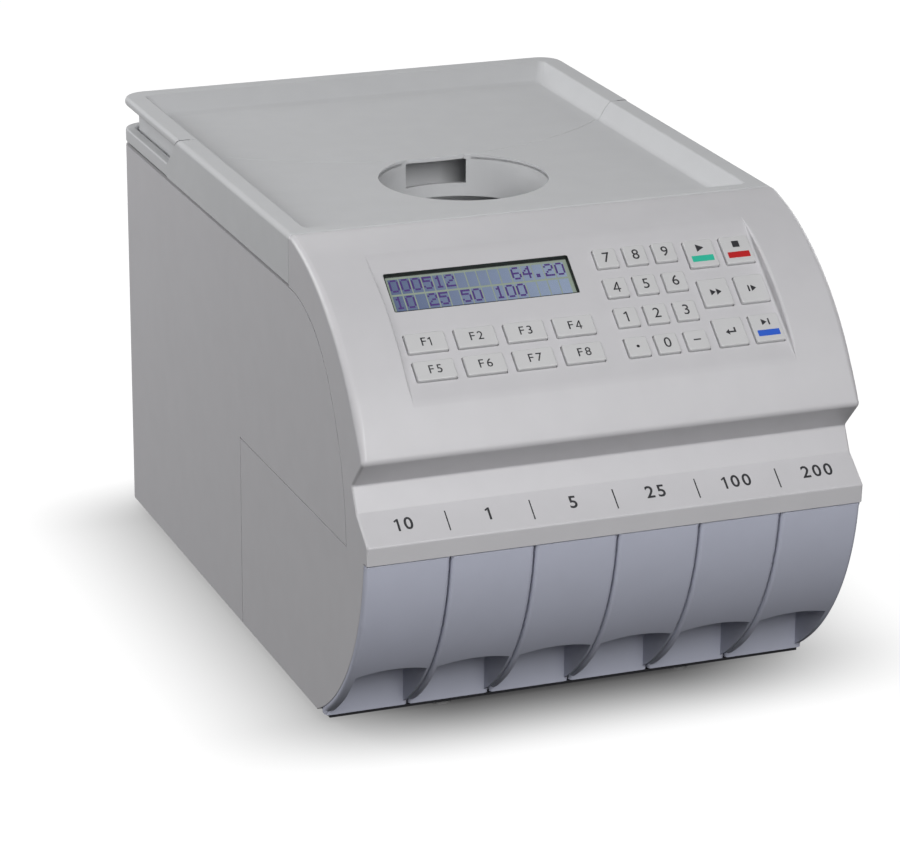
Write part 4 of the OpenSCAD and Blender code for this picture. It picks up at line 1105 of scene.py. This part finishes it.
def coin_tray():
    low = FRAME_Z0 - FAR
    front = FRAME_Y0 - FAR
    under = [(UNDER_X, UNDER_Z), (BODY_X - SKIN, UNDER_Z), (BODY_X - SKIN, REST_Z), (BODY_X, REST_Z),
             (BODY_X, TRAY_LIP_Z - 0.5), (BODY_X + 0.5, TRAY_LIP_Z)]
    under += outer_round(HALF_W, TRAY_LIP_Z + TRAY_LIP_R, TRAY_LIP_R, -90, 0)
    under += outer_round(HALF_W, TOP_Z - TRAY_RIM_R, TRAY_RIM_R, 0, 90)
    body = pan("coin_tray_look", under)
    swing = [(front, low), (HINGE.x, low), *swing_edge(SWING_R, TOP_Z + 1), (front, TOP_Z + 1)]
    start = TRAY_SEAM_Y + TRAY_GAP
    end = start + SLANT_RUN
    slant = [(front, low), (end, low), (end, BAND_Z), (start, TOP_Z), (start, TOP_Z + 1), (front, TOP_Z + 1)]
    cut(body, prism("swing", swing, "x", -ARM_X, ARM_X), *side_cuts(slant))
    tongue = spout("tongue", SPOUT_R, UNDER_Z, FLOOR_Z, TRAY_SEAM_Y + SWING_R)
    unite(body, ease(tongue, 0.4))
    parts = [(smooth(body), TRAY), (tray_arm(-1), TRAY), (tray_arm(1), TRAY)]
    dress(merge("coin_tray_look", parts), "tray", "tray", "coin_tray")


def tray_arm(side):
    """An arm with an eye that turns on the hinge pin."""
    along = Vector((math.cos(ARM_DROP), -math.sin(ARM_DROP)))
    across = Vector((along.y, -along.x)) * (ARM_R - SEAM)
    reach = along * ARM_LEN
    inner, outer = sorted((side * (BODY_X - SKIN), side * BODY_X))
    arm = prism("arm", arc(HINGE, ARM_R, 0, -2 * math.pi, 32)[:-1], "x", inner, outer)
    straight = [HINGE + across, HINGE + across + reach, HINGE - across + reach, HINGE - across]
    unite(arm, prism("arm_bar", straight, "x", inner, outer))
    eye = arc(HINGE, EYE_R, 0, -2 * math.pi, 32)[:-1]
    return smooth(cut(arm, prism("eye", eye, "x", inner - 1, outer + 1)))


# Pieces that follow their solids

def eased_solid(node, width, material, body, slot):
    piece = ease(solid_copy(node), width, angle=40)
    dress(paint(smooth(piece), material), body, slot, node)


def hopper():
    """The funnel, with a low screen behind the tray's spout."""
    low, high = (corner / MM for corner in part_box("hopper"))
    half = MOUTH_R
    neck = THROAT_R + SKIN
    flange = neck + 2 * SKIN
    funnel = turned("hopper_look", MOUTH_Y, [
        (THROAT_R, low.z), (flange, low.z), (flange, low.z + SKIN), (neck, low.z + SKIN),
        (neck, low.z + THROAT_H), (high.x, high.z), (high.x - SKIN, high.z), (THROAT_R, low.z + THROAT_H),
    ])
    shelf = block("shelf", (-half, MOUTH_Y, high.z - SKIN), (half, high.y + SKIN, high.z))
    cut(shelf, round_plate("shelf_bore", MOUTH_Y, high.x - SKIN / 2, high.z - FAR, high.z + FAR))
    screen = block("screen", (-half, high.y, high.z - SKIN), (half, high.y + SKIN, SCREEN_Z))
    unite(funnel, shelf, screen)
    dress(paint(smooth(ease(funnel, SOFT_EDGE)), TRAY), "casing", "tray", "hopper")


def other_pieces():
    eased_solid("rear_cover", 0.6, CASING, "casing", "casing")
    eased_solid("base_plate", 0.4, DARK_PAINT, "casing", "painted")
    eased_solid("rubber_feet", 0.5, FOOT, "casing", "rubber")
    eased_solid("power_inlet", 0.3, BLACK, "casing", "black_plastic")
    eased_solid("power_switch", 0.3, BLACK, "rocker", "black_plastic")
    finishes = {
        "key_mat": RUBBER, "keypad_board": BOARD, "drawer_partitions": STEEL,
        "deck_plate": STEEL, "bearing_housing": CAST, "turntable_shaft": STEEL, "turntable": STEEL,
        "turntable_pulley": BLACK, "sorting_head": CAST, "coin_chutes": BLACK,
        "drive_motor": DARK_PAINT, "motor_pulley": STEEL, "drive_belt": RUBBER, "control_board": BOARD,
        "power_supply": STEEL, "screws": STEEL, "tray_hinge_pins": STEEL,
    }
    for node, material in finishes.items():
        paint(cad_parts[node], material)


# Studio

EYE = Vector((-746.7, FRONT_Y - 1716.3, 828.9)) * MM
AZIMUTH = math.radians(20.78)
ELEVATION = math.radians(19.34)
ROLL = math.radians(0.275)
LENS = 153.69
SENSOR_W = 36
CLIP_END = 50
# Lamps: name, place, target and size in metres, and power in watts
LAMPS = (
    ("front_light", (-0.15, -1.75, 1.13), (0, -0.1, 0.1), 0.9, 26.5),
    ("corner_light", (-1, -0.9, 1.1), (0, -0.1, 0.15), 0.6, 3.7),
    ("side_light", (-1.25, 0.9, 0.8), (0, 0, 0.15), 0.8, 15.2),
    ("right_light", (1.3, 0.9, 0.5), (0, 0, 0.15), 0.8, 7),
    ("back_light", (0.1, 1.3, 1.5), (0, 0.05, 0.25), 1, 6),
)
WORLD_GLOW = 0.08
WHITE = (1, 1, 1, 1)
FLOOR_HALF = 6
FLOOR_TONE = 0.06
FLOOR_SEEN_TONE = 0.12
# Floor glow seen by the camera away from the object, and inside the painted shadow round its plan
FLOOR_GLOW = 0.95
SHADE_GLOW = 0.05
# The painted shadow's middle and half size on the floor, and how far it takes to run out into white
SHADE_MIDDLE = (0, 20, 0)
SHADE_HALF = {"X": 150, "Y": 204}
SHADE_FADE = {"X": 95, "Y": 46}


def floor_glow_and_painted_shadow(nodes, links):
    """A glow that grows with the distance from the object's plan, so the floor runs out into white; where it
    is low near the plan, it paints the object's shadow.
    """
    place = nodes.new("ShaderNodeTexCoord")
    away = nodes.new("ShaderNodeVectorMath")
    away.operation = "SUBTRACT"
    away.inputs[1].default_value = Vector(SHADE_MIDDLE) * MM
    links.new(place.outputs["Object"], away.inputs[0])
    sides = nodes.new("ShaderNodeVectorMath")
    sides.operation = "ABSOLUTE"
    links.new(away.outputs["Vector"], sides.inputs[0])
    split = nodes.new("ShaderNodeSeparateXYZ")
    links.new(sides.outputs["Vector"], split.inputs["Vector"])
    shade = nodes.new("ShaderNodeMath")
    shade.operation = "MULTIPLY"
    for i, axis in enumerate("XY"):
        fade = nodes.new("ShaderNodeMapRange")
        fade.interpolation_type = "SMOOTHSTEP"
        half, run = SHADE_HALF[axis], SHADE_FADE[axis]
        set_inputs(fade, {"From Min": (half - run) * MM, "From Max": (half + run) * MM})
        set_inputs(fade, {"To Min": 1, "To Max": 0})
        links.new(split.outputs[axis], fade.inputs["Value"])
        links.new(fade.outputs["Result"], shade.inputs[i])
    level = nodes.new("ShaderNodeMapRange")
    set_inputs(level, {"To Min": FLOOR_GLOW, "To Max": SHADE_GLOW})
    links.new(shade.outputs["Value"], level.inputs["Value"])
    return level.outputs["Result"]


def studio_floor():
    mesh = bpy.data.meshes.new("floor")
    corners = [(FLOOR_HALF * a, FLOOR_HALF * b, 0) for a, b in ((-1, -1), (1, -1), (1, 1), (-1, 1))]
    mesh.from_pydata(corners, [], [(0, 1, 2, 3)])
    floor = new_piece("floor", mesh)
    material, nodes, links = new_material("floor_white_painted_shadow")
    shader = nodes["Principled BSDF"]
    set_inputs(shader, {"Roughness": 0.9, "Specular IOR Level": 0.1, "Emission Color": WHITE})
    rays = nodes.new("ShaderNodeLightPath")
    tone = nodes.new("ShaderNodeMapRange")
    set_inputs(tone, {"To Min": FLOOR_TONE, "To Max": FLOOR_SEEN_TONE})
    links.new(rays.outputs["Is Camera Ray"], tone.inputs["Value"])
    links.new(tone.outputs["Result"], shader.inputs["Base Color"])
    # The camera sees the floor glow, lowered round the object's plan into a painted shadow.
    glow = nodes.new("ShaderNodeMath")
    glow.operation = "MULTIPLY"
    links.new(rays.outputs["Is Camera Ray"], glow.inputs[0])
    links.new(floor_glow_and_painted_shadow(nodes, links), glow.inputs[1])
    links.new(glow.outputs["Value"], shader.inputs["Emission Strength"])
    paint(floor, material)
    floor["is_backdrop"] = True


def studio_world():
    world = bpy.data.worlds.new("studio")
    world.use_nodes = True
    nodes, links = world.node_tree.nodes, world.node_tree.links
    plain = nodes["Background"]
    set_inputs(plain, {"Color": WHITE, "Strength": WORLD_GLOW})
    seen = nodes.new("ShaderNodeBackground")
    set_inputs(seen, {"Color": WHITE, "Strength": 1})
    rays = nodes.new("ShaderNodeLightPath")
    mix = nodes.new("ShaderNodeMixShader")
    links.new(rays.outputs["Is Camera Ray"], mix.inputs["Fac"])
    links.new(plain.outputs["Background"], mix.inputs[1])
    links.new(seen.outputs["Background"], mix.inputs[2])
    links.new(mix.outputs["Shader"], nodes["World Output"].inputs["Surface"])
    bpy.context.scene.world = world


def soft_light(name, place, target, size, power):
    lamp = bpy.data.lights.new(name, "AREA")
    lamp.shape = "SQUARE"
    lamp.size = size
    lamp.energy = power
    light = new_piece(name, lamp)
    light.location = place
    light.rotation_euler = (Vector(target) - Vector(place)).to_track_quat("-Z", "Y").to_euler()


def studio_camera():
    camera = new_piece("camera", bpy.data.cameras.new("camera"))
    camera.data.sensor_fit = "HORIZONTAL"
    camera.data.sensor_width = SENSOR_W
    camera.data.lens = LENS
    camera.data.clip_end = CLIP_END
    turn = Euler((math.pi / 2 - ELEVATION, 0, -AZIMUTH)).to_matrix().to_4x4()
    camera.matrix_world = Matrix.Translation(EYE) @ turn @ Matrix.Rotation(ROLL, 4, "Z")
    bpy.context.scene.camera = camera


def studio():
    studio_floor()
    studio_world()
    for lamp in LAMPS:
        soft_light(*lamp)
    studio_camera()
    bpy.context.scene.view_settings.view_transform = "Standard"


key_list = key_layout()
front_housing(key_list)
make_keys(key_list)
display()
label_strip()
for number in range(DRAWER_COUNT):
    coin_drawer(number)
tray_frame()
coin_tray()
hopper()
other_pieces()
studio()
boxes = {"solids": solids_box, "dressed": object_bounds()}
boxes = {name: [list(corner) for corner in box] for name, box in boxes.items()}
